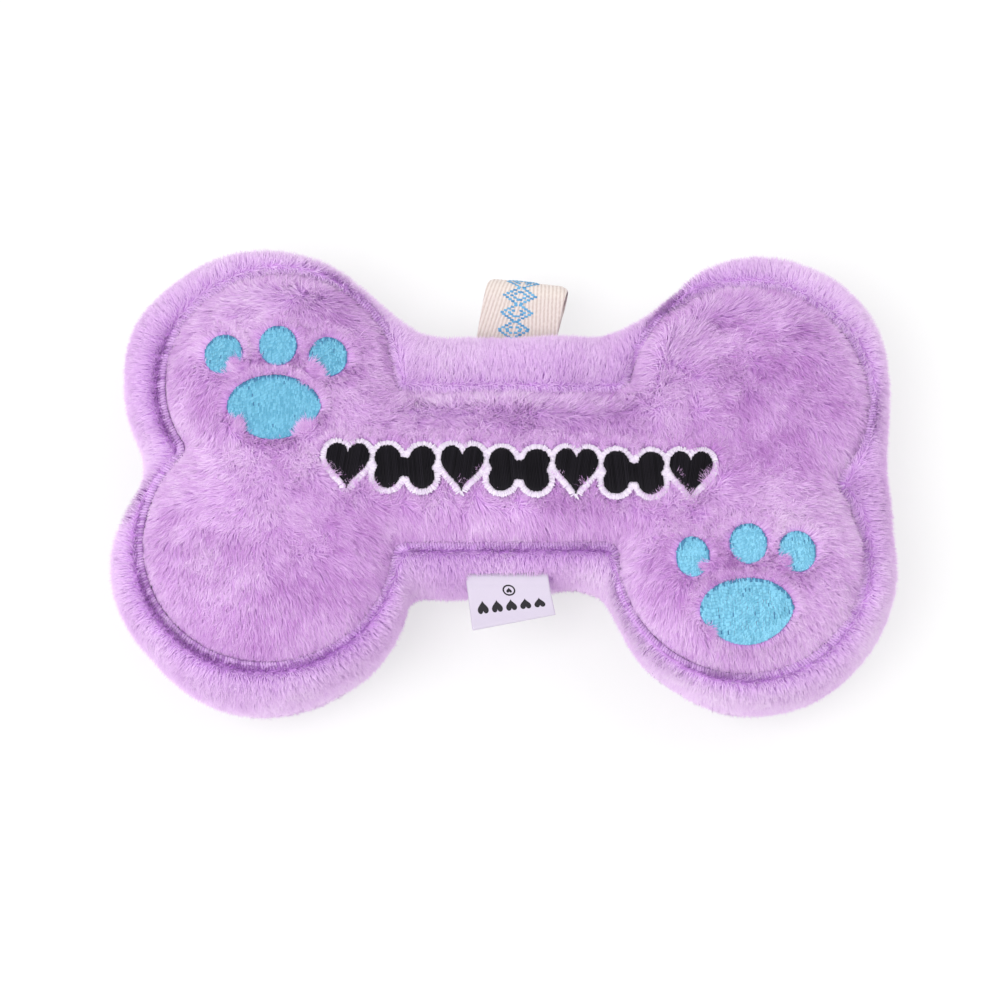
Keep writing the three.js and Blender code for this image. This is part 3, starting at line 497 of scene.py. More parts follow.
def filled(outline, step):
    """A flat mesh of even triangles inside an outline: points and faces, the outline's points first."""
    low, high = outline.min(0), outline.max(0)
    grid, row, y = [], 0, low[1]
    while y < high[1]:
        x = low[0] + (step / 2 if row % 2 else 0)
        while x < high[0]:
            grid.append((x, y))
            x += step
        y += step * 0.866
        row += 1
    grid = np.array(grid)
    inset, _ = edge_distance(grid, outline)
    return triangulated(outline, grid[inset > step * 0.6])


def join_parts(name, parts, mat):
    """One object from parts of vertices, faces and map places."""
    verts, faces, uvs, base = [], [], [], 0
    for v, f, uv in parts:
        verts.append(v)
        uvs.append(uv)
        faces += [[int(k) + base for k in face] for face in f]
        base += len(v)
    o = new_object(name, np.concatenate(verts), faces, mat)
    put_uv(o, np.concatenate(uvs))
    return o


def dress(o, body, slot, *nodes):
    """Puts a plain piece on its body and hides the nodes that it stands for. Its slot is not used."""
    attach(o, body)
    if nodes:
        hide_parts(*nodes)


# --- stage
def seen_by(tree, *rays):
    """One for rays of the kinds named, and none for others."""
    path = add(tree, "LightPath")
    share = path.outputs[rays[0]]
    for ray in rays[1:]:
        share = add(tree, "Math", {0: share, 1: path.outputs[ray]}, operation="MAXIMUM").outputs[0]
    return share


SKY = 0.8
GLOW = 0.62
PAPER = 3000


def world():
    """A soft sky that lights the toy, and looks white itself."""
    studio = bpy.data.worlds.new("studio")
    bpy.context.scene.world = studio
    studio.use_nodes = True
    tree = studio.node_tree
    tree.nodes.clear()
    soft, seen = (add(tree, "Background", {"Strength": s, "Color": WHITE}).outputs[0] for s in (SKY, 1.0))
    share = seen_by(tree, "Is Camera Ray", "Is Glossy Ray", "Is Transmission Ray")
    mix = add(tree, "MixShader", {"Fac": share, 1: soft, 2: seen})
    add(tree, "OutputWorld", {"Surface": mix.outputs[0]})


def place_looking(name, data, place, aim):
    o = bpy.data.objects.new(name, data)
    bpy.context.scene.collection.objects.link(o)
    o.location = place
    o.rotation_mode = "QUATERNION"
    o.rotation_quaternion = (Vector(aim) - Vector(place)).to_track_quat("-Z", "Y")
    return o


def lamp(name, place, size, power):
    data = bpy.data.lights.new(name, "AREA")
    data.shape, data.size, data.energy = "DISK", size, power
    place_looking(name, data, place, (0, 0, 0.02))


def floor():
    """Pale paper that keeps the shadow, and looks white to the camera away from it."""
    m, tree, shader = material("floor_paper", roughness=0.9, sheen=0, specular=0.1)
    wire(tree, shader, {"Base Color": (0.93, 0.93, 0.93, 1)})
    glow = add(tree, "Emission", {"Strength": 1.0, "Color": WHITE})
    share = add(tree, "Math", {0: seen_by(tree, "Is Camera Ray"), 1: GLOW}, operation="MULTIPLY")
    mix = add(tree, "MixShader", {"Fac": share.outputs[0], 1: shader.outputs[0], 2: glow.outputs[0]})
    wire(tree, tree.nodes["Material Output"], {"Surface": mix.outputs[0]})
    corners = [(x * PAPER, y * PAPER, 0) for x, y in ((-1, -1), (1, -1), (1, 1), (-1, 1))]
    new_object("floor", corners, [(0, 1, 2, 3)], m)


ELEVATION = math.radians(72)
AWAY = 900.0
MIDDLE_HEIGHT = 22
PIXELS_PER_MM = 3.7122
PICTURE = 1000
PIXELS_RIGHT, PIXELS_UP = -3.43, -21.4
SENSOR = 36


def camera():
    """The photograph's own camera."""
    view = Vector((0, -math.cos(ELEVATION), math.sin(ELEVATION)))
    up = Vector((0, math.sin(ELEVATION), math.cos(ELEVATION)))
    aim = Vector((PIXELS_RIGHT / PIXELS_PER_MM, 0, MIDDLE_HEIGHT)) + up * (PIXELS_UP / PIXELS_PER_MM)
    data = bpy.data.cameras.new("camera")
    data.sensor_width = SENSOR
    data.lens = SENSOR * AWAY / (PICTURE / PIXELS_PER_MM)
    o = place_looking("camera", data, (aim + view * AWAY) * MM, aim * MM)
    bpy.context.scene.camera = o


bpy.context.scene.view_settings.view_transform = "Standard"
world()
lamp("key", (-0.42, -0.3, 0.9), size=0.7, power=5.6)
lamp("fill", (0.6, 0.3, 0.8), size=0.8, power=1.8)
floor()
camera()


# --- skins under the pile
PAD_EDGE = 29.6
CROWN_REACH = 17.0
CROWN_SKIN = 39.6
RESTING = 1.4
WALL_TOP = 17.9
BACK_REACH = 23
SKIN_DEEP = 1.8
PATCH_SUNK = 2.3
PATCH_LIFT = 0.7


def bulge(inset, power):
    """From none at the raised bone's edge to one on its crown."""
    left = 1 - np.clip(inset / CROWN_REACH, 0, 1)
    return (1 - left**2) ** power


def skin_height(inset):
    """The height of the raised bone's skin, as sewn, this far inside its edge."""
    return PAD_EDGE + (CROWN_SKIN - PAD_EDGE) * bulge(inset, 0.74)


def simulate(o, pinned, cap, pressure=2.0, frames=20):
    """Cloth under pressure, with the sewn points held, applied to the mesh. No point moves further than cap."""
    rest = coordinates(o)
    o.vertex_groups.new(name="sewn").add([int(i) for i in np.nonzero(pinned)[0]], 1.0, "REPLACE")
    mod = o.modifiers.new("cloth", "CLOTH")
    s = mod.settings
    s.quality = 6
    s.mass = 0.25
    s.tension_stiffness = s.compression_stiffness = 12
    s.shear_stiffness = 6
    s.bending_stiffness = 0.6
    s.use_pressure = True
    s.uniform_pressure_force = pressure
    s.effector_weights.gravity = 0
    s.vertex_group_mass = "sewn"
    mod.collision_settings.use_collision = False
    mod.collision_settings.use_self_collision = False
    mod.point_cache.frame_start, mod.point_cache.frame_end = 1, frames
    for f in range(1, frames + 1):
        bpy.context.scene.frame_set(f)
    apply_modifiers(o)
    step = coordinates(o) - rest
    far = np.linalg.norm(step, axis=1)
    step *= np.minimum(1, cap / np.maximum(far, 1e-6))[:, None]
    move_to(o, rest + step)
    bpy.context.scene.frame_set(1)
    o.vertex_groups.clear()


def outward(o, up=1):
    """The object, with its faces turned so that most look up, or down where up is -1."""
    if read(o.data.polygons, "normal")[:, 2].sum() * up < 0:
        o.data.flip_normals()
    return o


RIM_SECTION = [(0, WALL_TOP), (0.0, 21.0), (0.07, 25.0), (0.24, 28.8), (0.48, 30.6), (0.76, 30.6), (1, 29.15)]
BACK_SECTION = [(1, RESTING), (0.62, 2.2), (0.33, 4.4), (0.13, 8.7), (0.03, 13.4), (0, WALL_TOP)]


def rim_skin():
    """The outer bone's front, from the seam up and over to the raised bone, with the number of its rings."""
    outer, ledge = outline_at(BODY, SKIN_DEEP), outline_at(INNER, -1.0)
    rings = [lift(outer + (ledge - outer) * across, z) for across, z in curve_through(RIM_SECTION, 13)]
    verts, faces = loft(rings)
    row = np.arange(len(verts)) // len(outer)
    free = np.sin(np.clip(row / (len(rings) - 1), 0, 1) * math.pi) ** 0.7
    verts[:, 2] += waves(verts, (0.8, 17, 3), (0.35, 8, 4)) * free
    return outward(new_object("rim_backing", verts, faces.tolist(), backing_mat)), len(rings)


def pad_skin():
    edge = outline_at(INNER, 0.2)
    points, faces = filled(edge, 3.0)
    verts = lift(points, skin_height(edge_distance(points, edge)[0]))
    return outward(new_object("inner_bone_backing", verts, faces, backing_mat))


def back_skin():
    """The outer bone's back: its wall, and the flat that it rests on."""
    section = curve_through(BACK_SECTION, 11)
    rings = [lift(outline_at(BODY, SKIN_DEEP + inward * BACK_REACH), z) for inward, z in section]
    verts, faces = loft(rings)
    base, base_faces = filled(rings[0][:, :2], 4.5)
    n = len(rings[0])
    faces = [list(f[::-1]) for f in faces]
    faces += [[k if k < n else k - n + len(rings) * n for k in f[::-1]] for f in base_faces]
    verts = np.concatenate([verts, lift(base[n:], RESTING)])
    return outward(new_object("back_backing", verts, faces, backing_mat), up=-1)


rim, rim_rings = rim_skin()
pad = pad_skin()
back = back_skin()


# --- places of the embroidery
CROWN_FOOT, CROWN_RISE = 33.0, 11


def seat_on_crown(x, y, turn, reach=4.5):
    """The place of a patch on the crown: its middle, and the directions of its x, y and normal."""
    q = np.array([[x, y], [x + reach, y], [x - reach, y], [x, y + reach], [x, y - reach]]) + SHIFT
    z = CROWN_FOOT + CROWN_RISE * bulge(edge_distance(q, INNER_EDGE)[0], 0.5)
    normal = unit(np.array([z[2] - z[1], z[4] - z[3], 2 * reach]))
    a = math.radians(turn)
    ex = np.array([math.cos(a), math.sin(a), 0.0])
    ex = unit(ex - normal * (ex @ normal))
    return np.array([*q[0], z[0]]), ex, np.cross(normal, ex), normal


def raised(points, place, z):
    """Points of a plane, put on a place and raised along its normal."""
    at, ex, ey, en = place
    return at + points[:, :1] * ex + points[:, 1:] * ey + z * en


def oval(width, height, count=48, taper=0.0):
    a = np.arange(count) / count * FULL_TURN
    narrow = 1 - taper * np.maximum(0, -np.sin(a))
    return np.stack([width / 2 * np.cos(a) * narrow, height / 2 * np.sin(a)], 1)


PAWS = [
    ("upper", (-60.57, 13.83), -1.0, [
        ("pad", (0, 0), (24.8, 18)), ("toe_left", (-14.2, 14.9), (10.2, 11)),
        ("toe_middle", (0.5, 17.4), (10.0, 11)), ("toe_right", (14.1, 14.6), (10.2, 11)),
    ]),
    ("lower", (63.94, -42.38), 2.5, [
        ("pad", (0, 0), (24.4, 17.2)), ("toe_left", (-13.3, 15.3), (8.7, 10.8)),
        ("toe_middle", (1.5, 18.2), (9.8, 10.9)), ("toe_right", (14.2, 15.5), (9.8, 11)),
    ]),
]
PATCHES = []
for side, middle, turn, parts in PAWS:
    for part, offset, size in parts:
        x, y = middle + rotated(np.array([offset]), math.radians(turn))[0]
        shape = oval(*size, count=72, taper=0.16) if part == "pad" else oval(*size)
        PATCHES.append((f"{side}_paw_{part}", shape, seat_on_crown(x, y, turn)))

KINDS = ["heart", "bone"] * 3 + ["heart"]
HEART = (11.2, 12.4)
BONE = (15.8, 11.6)
BONE_LOBE, BONE_BAR, BONE_FILLET = 3.3, 2.4, 0.8
MOTIF_GAP = 1.6
ROW_AT = np.array([4.6, -4.1]) + SHIFT
ROW_TURN = math.radians(-1.5)
widths = np.array([HEART[0] if kind == "heart" else BONE[0] for kind in KINDS])
ends = np.cumsum(widths + MOTIF_GAP) - MOTIF_GAP
MIDDLES = ends - (widths + ends[-1]) / 2


def heart_outline(width, height, count=64):
    a = (np.arange(count) + 0.5) / count * FULL_TURN
    x = -(np.sin(a) ** 3) / 2
    y = 0.086 + sum(s * np.cos((k + 1) * a) for k, s in enumerate((0.448, -0.172, -0.069, -0.034)))
    return np.stack([x * width, y * height], 1)


def motif_outline(kind, grow=0.0):
    if kind == "heart":
        return heart_outline(HEART[0] + 2 * grow, HEART[1] + 2 * grow)
    x, y, r, half = BONE[0] / 2 - BONE_LOBE, BONE[1] / 2 - BONE_LOBE, BONE_LOBE + grow, BONE_BAR + grow
    lobes = [(x, -y, r), (x, y, r), (-x, y, r), (-x, -y, r)]
    return outline_at(bone_arcs(lobes, half, -half, (BONE_FILLET,) * 4, (12, 3, 2, 3)), 0) - SHIFT


def motif_shapes(grow=0.0):
    return [motif_outline(kind, grow) + np.array([middle, 0]) for kind, middle in zip(KINDS, MIDDLES)]


def row_to_plan(p):
    return rotated(p, ROW_TURN) + ROW_AT


def plan_to_row(p):
    return rotated(p[:, :2] - ROW_AT, -ROW_TURN)


COVERED = [raised(shape, place, -PATCH_SUNK)[:, :2] for _, shape, place in PATCHES]
COVERED += [row_to_plan(shape) for shape in motif_shapes(1.7)]


def patch_distance(points):
    """How far each point lies outside the nearest embroidered patch (negative on it), and the way out of it."""
    best = np.full(len(points), 1e9)
    away = np.zeros((len(points), 2))
    for shape in COVERED:
        c = shape.mean(0)
        reach = np.linalg.norm(shape - c, axis=1).max() + 8
        near = np.nonzero(np.linalg.norm(points[:, :2] - c, axis=1) < reach)[0]
        if len(near):
            inset, out = edge_distance(points[near], shape)
            closer = -inset < best[near]
            best[near[closer]] = -inset[closer]
            away[near[closer]] = out[closer]
    return best, away


inner_field = Field(lambda q: edge_distance(q, INNER_EDGE))
body_field = Field(lambda q: edge_distance(q, BODY_EDGE))
patch_field = Field(patch_distance)


# --- stuffing pressure
def puff_up():
    """The skins swell between their seams: held at the groove, at the outer seam and under each patch."""
    co = coordinates(pad)
    simulate(pad, (edge_distance(co, INNER_EDGE)[0] < 1.0) | (patch_distance(co)[0] < 0.3), cap=2.2)
    row = np.arange(len(rim.data.vertices)) // len(BODY_EDGE)
    simulate(rim, (row == 0) | (row == rim_rings - 1), cap=1.2)


puff_up()
for skin in (rim, pad, back):
    subdivide(skin)


# --- pile
NORMAL_SHARE = 0.68
STRAND_TONE = 1.6 / 1024
ROOT_DEEP = 0.15
NAP = np.array([0.34, -0.94])


def surface_points(o, density, where=None):
    """Random points all over an object, or where it is one, and its normals there."""
    me = o.data
    me.calc_loop_triangles()
    tri = read(me.loop_triangles, "vertices", 3, np.int64)
    co, normals = coordinates(o), read(me.vertex_normals, "vector")
    a, b, c = (co[tri[:, k]] for k in range(3))
    area = np.linalg.norm(np.cross(b - a, c - a), axis=1) / 2
    if where:
        area = area * where((a + b + c) / 3)
    count = int(area.sum() * density)
    pick = rng.choice(len(tri), count, p=area / area.sum())
    u, v = rng.random(count), rng.random(count)
    flip = u + v > 1
    u[flip], v[flip] = 1 - u[flip], 1 - v[flip]
    share = np.stack([1 - u - v, u, v], 1)[:, :, None]
    return (co[tri[pick]] * share).sum(1), unit((normals[tri[pick]] * share).sum(1))


def grow(name, skin, mat, style, density, clump_area, clump, width, floor=None, where=None):
    """Pile on a skin, or where it is one on it: each strand is one slender triangle from its root to its tip.

    Each tip moves up to the share clump of the way to the middle tip of its tuft, which covers clump_area."""
    p, n = surface_points(skin, density, where)
    made = style(p)
    keep = made["keep"] & (rng.random(len(p)) < made["share"])
    p, n = p[keep], n[keep]
    direction, rise, length, tone, unruly = (made[k][keep] for k in ("direction", "rise", "length", "tone", "unruly"))
    count = len(p)
    firm = np.maximum(np.linalg.norm(direction, axis=1, keepdims=True), 0.85)
    direction = unit(direction / firm + rng.normal(0, 1, (count, 3)) * unruly[:, None])
    flat = unit(direction - n * (direction * n).sum(1, keepdims=True))
    angle = np.radians(np.clip(rise + rng.normal(0, 7, count), 3, 88))[:, None]
    reach = (length * rng.uniform(0.8, 1.12, count))[:, None]
    tips = p + (n * np.sin(angle) + flat * np.cos(angle)) * reach

    heads = max(8, int(count / (density * made["share"].mean() * clump_area)))
    heads = rng.choice(count, heads, replace=False)
    tree = kdtree.KDTree(len(heads))
    for k, h in enumerate(heads):
        tree.insert(Vector(p[h]), k)
    tree.balance()
    mine = heads[np.array([tree.find(Vector(q))[1] for q in p])]
    tips = tips + (tips[mine] - tips) * rng.uniform(0.1, clump, count)[:, None]
    if floor is not None:
        tips[:, 2] = np.maximum(tips[:, 2], floor + rng.uniform(0, 0.5, count))

    roots = p - n * ROOT_DEEP
    along = unit(tips - roots)
    side = unit(np.cross(along, n) + rng.normal(0, 0.18, (count, 3)))
    side = unit(side - along * (side * along).sum(1, keepdims=True))
    w = width * rng.uniform(0.7, 1.2, count)[:, None] / 2
    verts = np.stack([roots - side * w, roots + side * w, tips], 1)
    faces = np.arange(3 * count).reshape(count, 3)
    facing = np.cross(verts[:, 1] - verts[:, 0], verts[:, 2] - verts[:, 0])
    wrong = (facing * n).sum(1) < 0
    faces[wrong] = faces[wrong][:, ::-1]
    o = new_object(name, verts.reshape(-1, 3), faces, mat)

    tone = np.clip(tone + rng.normal(0, made["speckle"], count), 0.01, 0.99)
    u = tone[:, None] + np.array([-STRAND_TONE, STRAND_TONE, 0])
    v = np.broadcast_to(np.array([0.005, 0.005, 0.995]), (count, 3))
    put_uv(o, np.stack([u, v], 2).reshape(-1, 2))
    own = read(o.data.vertex_normals, "vector")
    mixed = unit(np.repeat(n, 3, 0) * NORMAL_SHARE + own * (1 - NORMAL_SHARE))
    o.data.normals_split_custom_set_from_vertices(mixed.tolist())
    print(name, count, "strands")
    return o


BITES = [
    (-70.9, 25.2, 2.3), (-50.9, 24.4, 2.9), (-71.9, 7.6, 2.6), (-51.6, 6.2, 2.9),
    (54.0, -30.0, 1.3), (72.8, -28.8, 1.8), (52.6, -47.4, 1.6),
]
# Patches of painted shade, where the step is negative, and painted light, where it is positive, on the inner pile's
# tone: a place, a size and a step each.
PAINTED_SHADE_AND_LIGHT = [
    (62, 20, 24, -0.3), (88, -34, 14, 0.24), (-64, 46, 15, 0.16),
    (20, 14, 12, -0.1), (-66, -24, 22, -0.08), (6, -14, 22, -0.1),
]
# The same painted shade and light for the rim's pile.
RIM_PAINTED_SHADE_AND_LIGHT = [(38, 37, 20, -0.3), (101, -8, 20, -0.36), (-8, -34, 22, -0.34), (-62, 60, 16, 0.12)]


# The painted shade and light of a list of patches, added up at each point.
def painted_shade_and_light_at(p, shades):
    return sum(step * bell(p, x, y, size) for x, y, size, step in shades)


def beside_row(p):
    row = plan_to_row(p)
    return (np.abs(row[:, 0]) < 56) & (np.abs(row[:, 1]) < 11)


def bite_places(p):
    return np.max([bell(p, *bite) for bite in BITES], axis=0)


def bite_at(p, below):
    """How far the pile leans in over a patch: at a few places, and in wisps along the row's lower edges."""
    bite = beside_row(p) * below * (0.15 + 0.85 * smooth(wave(p, 6, 31), -0.25, 0.5))
    return np.clip(np.maximum(bite, 1.15 * bite_places(p)), 0, 1)


def open_groove_at(p, out):
    """One where the seam round the raised bone lies open, none where the pile closes over it."""
    opened = smooth(-0.42 * out[:, 1] - 0.75 * out[:, 0] + 0.35 * wave(p, 16, 27), 0.1, 0.75)
    return opened * (0.3 + 0.7 * smooth(np.abs(p[:, 0]), 30, 42))


def pad_style(p):
    """The nap runs down the toy and out over the edge, and turns sideways where the two meet."""
    inset, out = inner_field(p)
    patched, away = patch_field(p)
    lobes = np.array(INNER_LOBES)
    off = (p[:, None, :2] - (lobes[:, :2] + SHIFT)) / lobes[:, 2:]
    far = np.linalg.norm(off, axis=2)
    mine = np.arange(len(p)), far.argmin(1)
    radial = off[mine] * np.clip(1.5 - far[mine], 0, 1)[:, None]
    edge = np.exp(-(np.clip(inset, 0, None) / 6) ** 2)
    turning = swirl(p, 24, 11) * 0.4 + swirl(p, 8, 15) * 0.22 + swirl(p, 3.5, 18) * 0.34
    way = NAP * 0.8 + radial * 0.5 + turning + out * edge[:, None] * 1.8
    weak = 1 - smooth(np.linalg.norm(way, axis=1), 0.1, 0.9)
    way = way + np.array([0.94, 0.3]) * (0.9 * weak * np.tanh(p[:, 0] / 20))[:, None]

    near = np.exp(-(np.clip(patched, 0, None) / 2.4) ** 2)
    below = smooth(-away[:, 1], -0.15, 0.5)
    bite = bite_at(p, below)
    pushed = (0.9 * (1 - below) + 0.12 * below) * (1 - bite) - bite * 1.2
    way = way * (1 - 0.75 * near)[:, None] + away * (pushed * near)[:, None]
    firm = np.linalg.norm(way, axis=1)
    unruly = 0.55 * (1 - smooth(firm, 0.2, 0.9)) + 0.3 * smooth(wave(p, 18, 33), -0.1, 0.6)

    opened = open_groove_at(p, out)
    rise = 41 - 11 * smooth(firm, 0.15, 1.1) - 8 * smooth(-unit(way)[:, 1], 0.2, 0.9)
    rise = rise + waves(p, (7, 13, 21), (6, 5, 22), (8, 2.6, 24)) - (14 - 8 * opened) * edge
    beside = (44 * (1 - below) + 60 * below) * (1 - bite) + 34 * bite
    rise = rise + (beside - rise) * near * 0.9
    length = 4.1 + waves(p, (0.5, 11, 23), (0.4, 2.6, 29)) - 0.4 * bite * near
    length *= 1.12 - 0.74 * opened + (0.74 * opened - 0.12) * smooth(inset, 0, 4.5)
    length *= 1 - 0.3 * near * (1 - bite)
    # The tone is lighter near the edge, a painted highlight, and lighter where the nap is weak and the strands stand
    # up, painted light against the shade between them.
    tone = 0.5 + waves(p, (0.28, 15, 25), (0.16, 4, 26), (0.16, 2.2, 28)) + 0.15 * edge + 0.25 * weak
    return dict(
        keep=(patched > -0.15) & (inset > 0.2), share=np.where(patched < 1.6, 1.0, 0.5), speckle=0.16,
        direction=lift(way, 0), unruly=0.24 + unruly * smooth(inset, 1, 6) * (1 - near),
        rise=np.clip(rise, 14, 82), length=length, tone=tone + painted_shade_and_light_at(p, PAINTED_SHADE_AND_LIGHT),
    )


def wisp_style(p):
    """The longer pile that lies over parts of the paw prints."""
    patched, away = patch_field(p)
    over_row = beside_row(p) * smooth(-away[:, 1], 0.1, 0.7) * smooth(wave(p, 2.2, 75), -0.1, 0.5)
    return dict(
        keep=(patched > -0.1) & (patched < 2.6), speckle=0.16,
        share=smooth(bite_places(p), 0.2, 0.9) * (0.5 + 0.3 * wave(p, 1.2, 74)) + 0.3 * over_row,
        direction=lift(swirl(p, 2.5, 73) * 0.7 - away, 0), unruly=np.full(len(p), 0.3),
        rise=30 + 8 * wave(p, 3, 71) + 12 * beside_row(p),
        length=3.5 + 1.6 * wave(p, 1.3, 72) + 0.5 * beside_row(p), tone=0.42 + 0.2 * wave(p, 4, 26),
    )


def rim_style(p):
    """The nap runs over the edge and down the wall, and is short and thin beside the label."""
    _, out = body_field(p)
    inside, way_out = inner_field(p)
    groove = -inside
    opened = open_groove_at(p, way_out)
    away = smooth(groove, 0.5, 4.5) * (1 - opened) + opened
    way = out * (0.25 + 0.75 * away)[:, None] + swirl(p, 12, 41) * 0.3 + NAP * 0.25
    way = way - way_out * (0.9 * (1 - away))[:, None]
    wall = smooth(p[:, 2], 29.5, 20)
    rise = 44 + 8 * wave(p, 9, 43) - 18 * wall + 34 * opened * (1 - smooth(groove, 2.0, 5.0))
    length = 3.3 + 0.3 * wave(p, 12, 44)
    length *= 0.9 - 0.4 * opened + (0.1 + 0.4 * opened) * smooth(groove, 1.4, 4.5)
    # The rim's tone starts at 0.62, paler than the inner pile's 0.5: painted light on its side-on strands.
    # The tone is darker beside the open groove: painted shade in the groove.
    tone = 0.62 + waves(p, (0.2, 14, 45), (0.14, 4, 46)) - 0.14 * opened * (1 - smooth(groove, 1.8, 5))
    x, y, z = p.T
    across = np.abs(x - 2.3 - 0.16 * (-32.02 - y))
    near_label = (across < 11.4) & (y < -27.6)
    beside = (across < 12.4) & (y < -26) & (y > -36)
    return dict(
        keep=(groove > 1.2 + 0.7 * opened) & ~(near_label & (z > 23.8)), share=np.ones(len(p)), speckle=0.11,
        direction=lift(way, -0.8 * wall), unruly=np.full(len(p), 0.24), rise=np.clip(rise, 8, 80),
        length=length * np.where(beside, 0.75, 1) * np.where(near_label, 0.85, 1),
        tone=tone + painted_shade_and_light_at(p, RIM_PAINTED_SHADE_AND_LIGHT),
    )


def back_style(p):
    """The nap runs down the toy, and down the wall at its edge."""
    depth, out = body_field(p)
    edge = np.exp(-((depth - SKIN_DEEP) / 7) ** 2)
    low = smooth(p[:, 2], 7, 2)
    way = NAP * 0.7 + swirl(p, 22, 51) * 0.5 + out * edge[:, None] * 2
    rise = (26 + 8 * wave(p, 10, 53)) * (1 - 0.7 * low)
    return dict(
        keep=np.ones(len(p), bool), share=np.where(p[:, 2] < 2.2, 0.4, 1.0), speckle=0.14,
        direction=lift(way, -1.3 * edge * (1 - low)), unruly=np.full(len(p), 0.24), rise=np.clip(rise, 4, 80),
        length=(3.2 + 0.3 * wave(p, 12, 54)) * (1 - 0.2 * smooth(p[:, 2], 12, 17)),
        tone=0.6 + waves(p, (0.22, 15, 55), (0.12, 4, 56)),
    )


def wispy(p):
    return (bite_places(p) > 0.15) | beside_row(p)


pad_fur = grow(
    "inner_bone_pile", pad, inner_fur_mat, pad_style, density=21.0, clump_area=0.8, clump=0.55, width=0.36,
)
wisps = grow(
    "inner_bone_wisps", pad, inner_fur_mat, wisp_style, density=44.0, clump_area=0.6, clump=0.5, width=0.36,
    where=wispy,
)
rim_fur = grow("rim_pile", rim, fur_mat, rim_style, density=13.0, clump_area=0.8, clump=0.32, width=0.28)
back_fur = grow(
    "back_pile", back, back_fur_mat, back_style, density=9.0, clump_area=1.2, clump=0.4, width=0.34, floor=0.15,
)
for o in (pad, pad_fur, wisps):
    dress(o, "front_face", "inner_plush")
for o in (rim, rim_fur):
    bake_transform(o)
for o in (back, back_fur):
    dress(o, "back", "back_plush")
for o, node in ((pad, "inner_bone"), (rim, "front_panel"), (back, "back_panel")):
    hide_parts(node)


# --- thread
MAP_SHARE, MAP_EDGE = 0.98, 0.01
STATIONS = np.array([0.0, 0.1, 0.5, 0.9, 1.0])
RISES = np.array([-0.25, 0.75, 1.0, 0.75, -0.25])
UP = np.array([0, 0, 1.0])


def stitches(starts, ends, ups, width, height, tones=(0.1, 0.9), painted_shade=None):
    """Short raised threads from starts to ends, as a part to join. Those marked in the last argument are darkest:
    painted shade on stitches sunk in shadow.
    """
    n = len(starts)
    side = unit(np.cross(ends - starts, ups))
    w = width * rng.uniform(0.88, 1.1, n)[:, None] / 2
    h = height * rng.uniform(0.85, 1.1, n)[:, None]
    verts = np.empty((n, 5, 3, 3))
    for k, (t, r) in enumerate(zip(STATIONS, RISES)):
        middle = starts + (ends - starts) * t
        half, foot = side * w * (0.7 if k in (0, 4) else 1.0), ups * h * min(r, 0)
        verts[:, k, 0] = middle - half + foot
        verts[:, k, 1] = middle + ups * h * r
        verts[:, k, 2] = middle + half + foot
    faces = np.array([(k, k + 1, k + 4, k + 3) for k in range(12) if k % 3 < 2])
    faces = faces[None] + 15 * np.arange(n)[:, None, None]
    tone = rng.uniform(*tones, n)
    if painted_shade is not None:
        tone = np.where(painted_shade, tone * 0.1, tone)
    uv = np.empty((n, 5, 3, 2))
    uv[..., 0] = tone[:, None, None] * MAP_SHARE + MAP_EDGE + np.array([-0.004, 0, 0.004])
    uv[..., 1] = (0.05 + 0.9 * STATIONS)[:, None]
    return verts.reshape(-1, 3), faces.reshape(-1, 4), uv.reshape(-1, 2)


def plate_uv(verts, tone):
    return np.array([tone, 0.5]) + 0.02 * swirl(verts, 0.8, 5)


def slab(outline, place, low, high, round_off=0.4):
    """A patch under its stitches: a flat plate with a rounded upper edge."""
    spoke = outline - outline.mean(0)
    far = np.linalg.norm(spoke, axis=1)[:, None]
    section = [(0, low), (0, high - round_off * 0.6), (round_off * 0.4, high - round_off * 0.15), (round_off, high)]
    verts, faces = loft([raised(outline - spoke * (inward / far), place, z) for inward, z in section])
    lid, top = triangulated(outline)[1], len(verts) - len(outline)
    faces = faces.tolist() + [face[::-1] for face in lid] + [[top + k for k in face] for face in lid]
    return verts, faces, plate_uv(verts, 0.35)


def spans(outline, x):
    """Where a line straight up at x runs inside the outline: pairs of heights."""
    a, b = outline, np.roll(outline, -1, 0)
    hit = (a[:, 0] <= x) != (b[:, 0] <= x)
    a, b = a[hit], b[hit]
    y = np.sort(a[:, 1] + (b[:, 1] - a[:, 1]) * (x - a[:, 0]) / (b[:, 0] - a[:, 0]))
    return list(zip(y[::2], y[1::2]))


def fill_stitches(outline, pitch, reach, ragged, slant=0.0):
    """Rows of stitches that fill an outline, each as long as reach or as its row: starts and ends in its plane."""
    turned = rotated(outline, -slant)
    lines = []
    x = turned[:, 0].min() + pitch * 0.6
    row = 0
    while x < turned[:, 0].max():
        for low, high in spans(turned, x):
            y = low - rng.uniform(0, ragged)
            top = high + rng.uniform(0, ragged)
            if reach is None or top - y < reach * 1.3:
                lines.append((x, y, x, top))
                continue
            cut = y + reach * ((row % 3) / 3 + rng.uniform(0.15, 0.3))
            while y < top - 0.2:
                cut = min(cut, top)
                lines.append((x, y, x, cut))
                y, cut = cut, cut + reach * rng.uniform(0.9, 1.1)
                if top - cut < reach * 0.3:
                    cut = top
        x += pitch
        row += 1
    lines = np.array(lines)
    lines[:, ::2] += rng.normal(0, pitch * 0.1, len(lines))[:, None]
    return rotated(lines[:, :2], slant), rotated(lines[:, 2:], slant)


def embroidered(name, parts, mat, slot, node):
    dress(join_parts(name, parts, mat), "front_face", slot, node)


def lay_down(points, place, z):
    """Bends a patch that is flat at z over its place, so that it follows the sewn skin a little above it."""
    en = place[3]
    at = place[0] + z * en
    plane = at[2] - ((points[:, :2] - at[:2]) * en[:2]).sum(1) / en[2]
    return points + UP * (skin_height(inner_field(points)[0] - 0.2) + PATCH_LIFT - plane)[:, None]


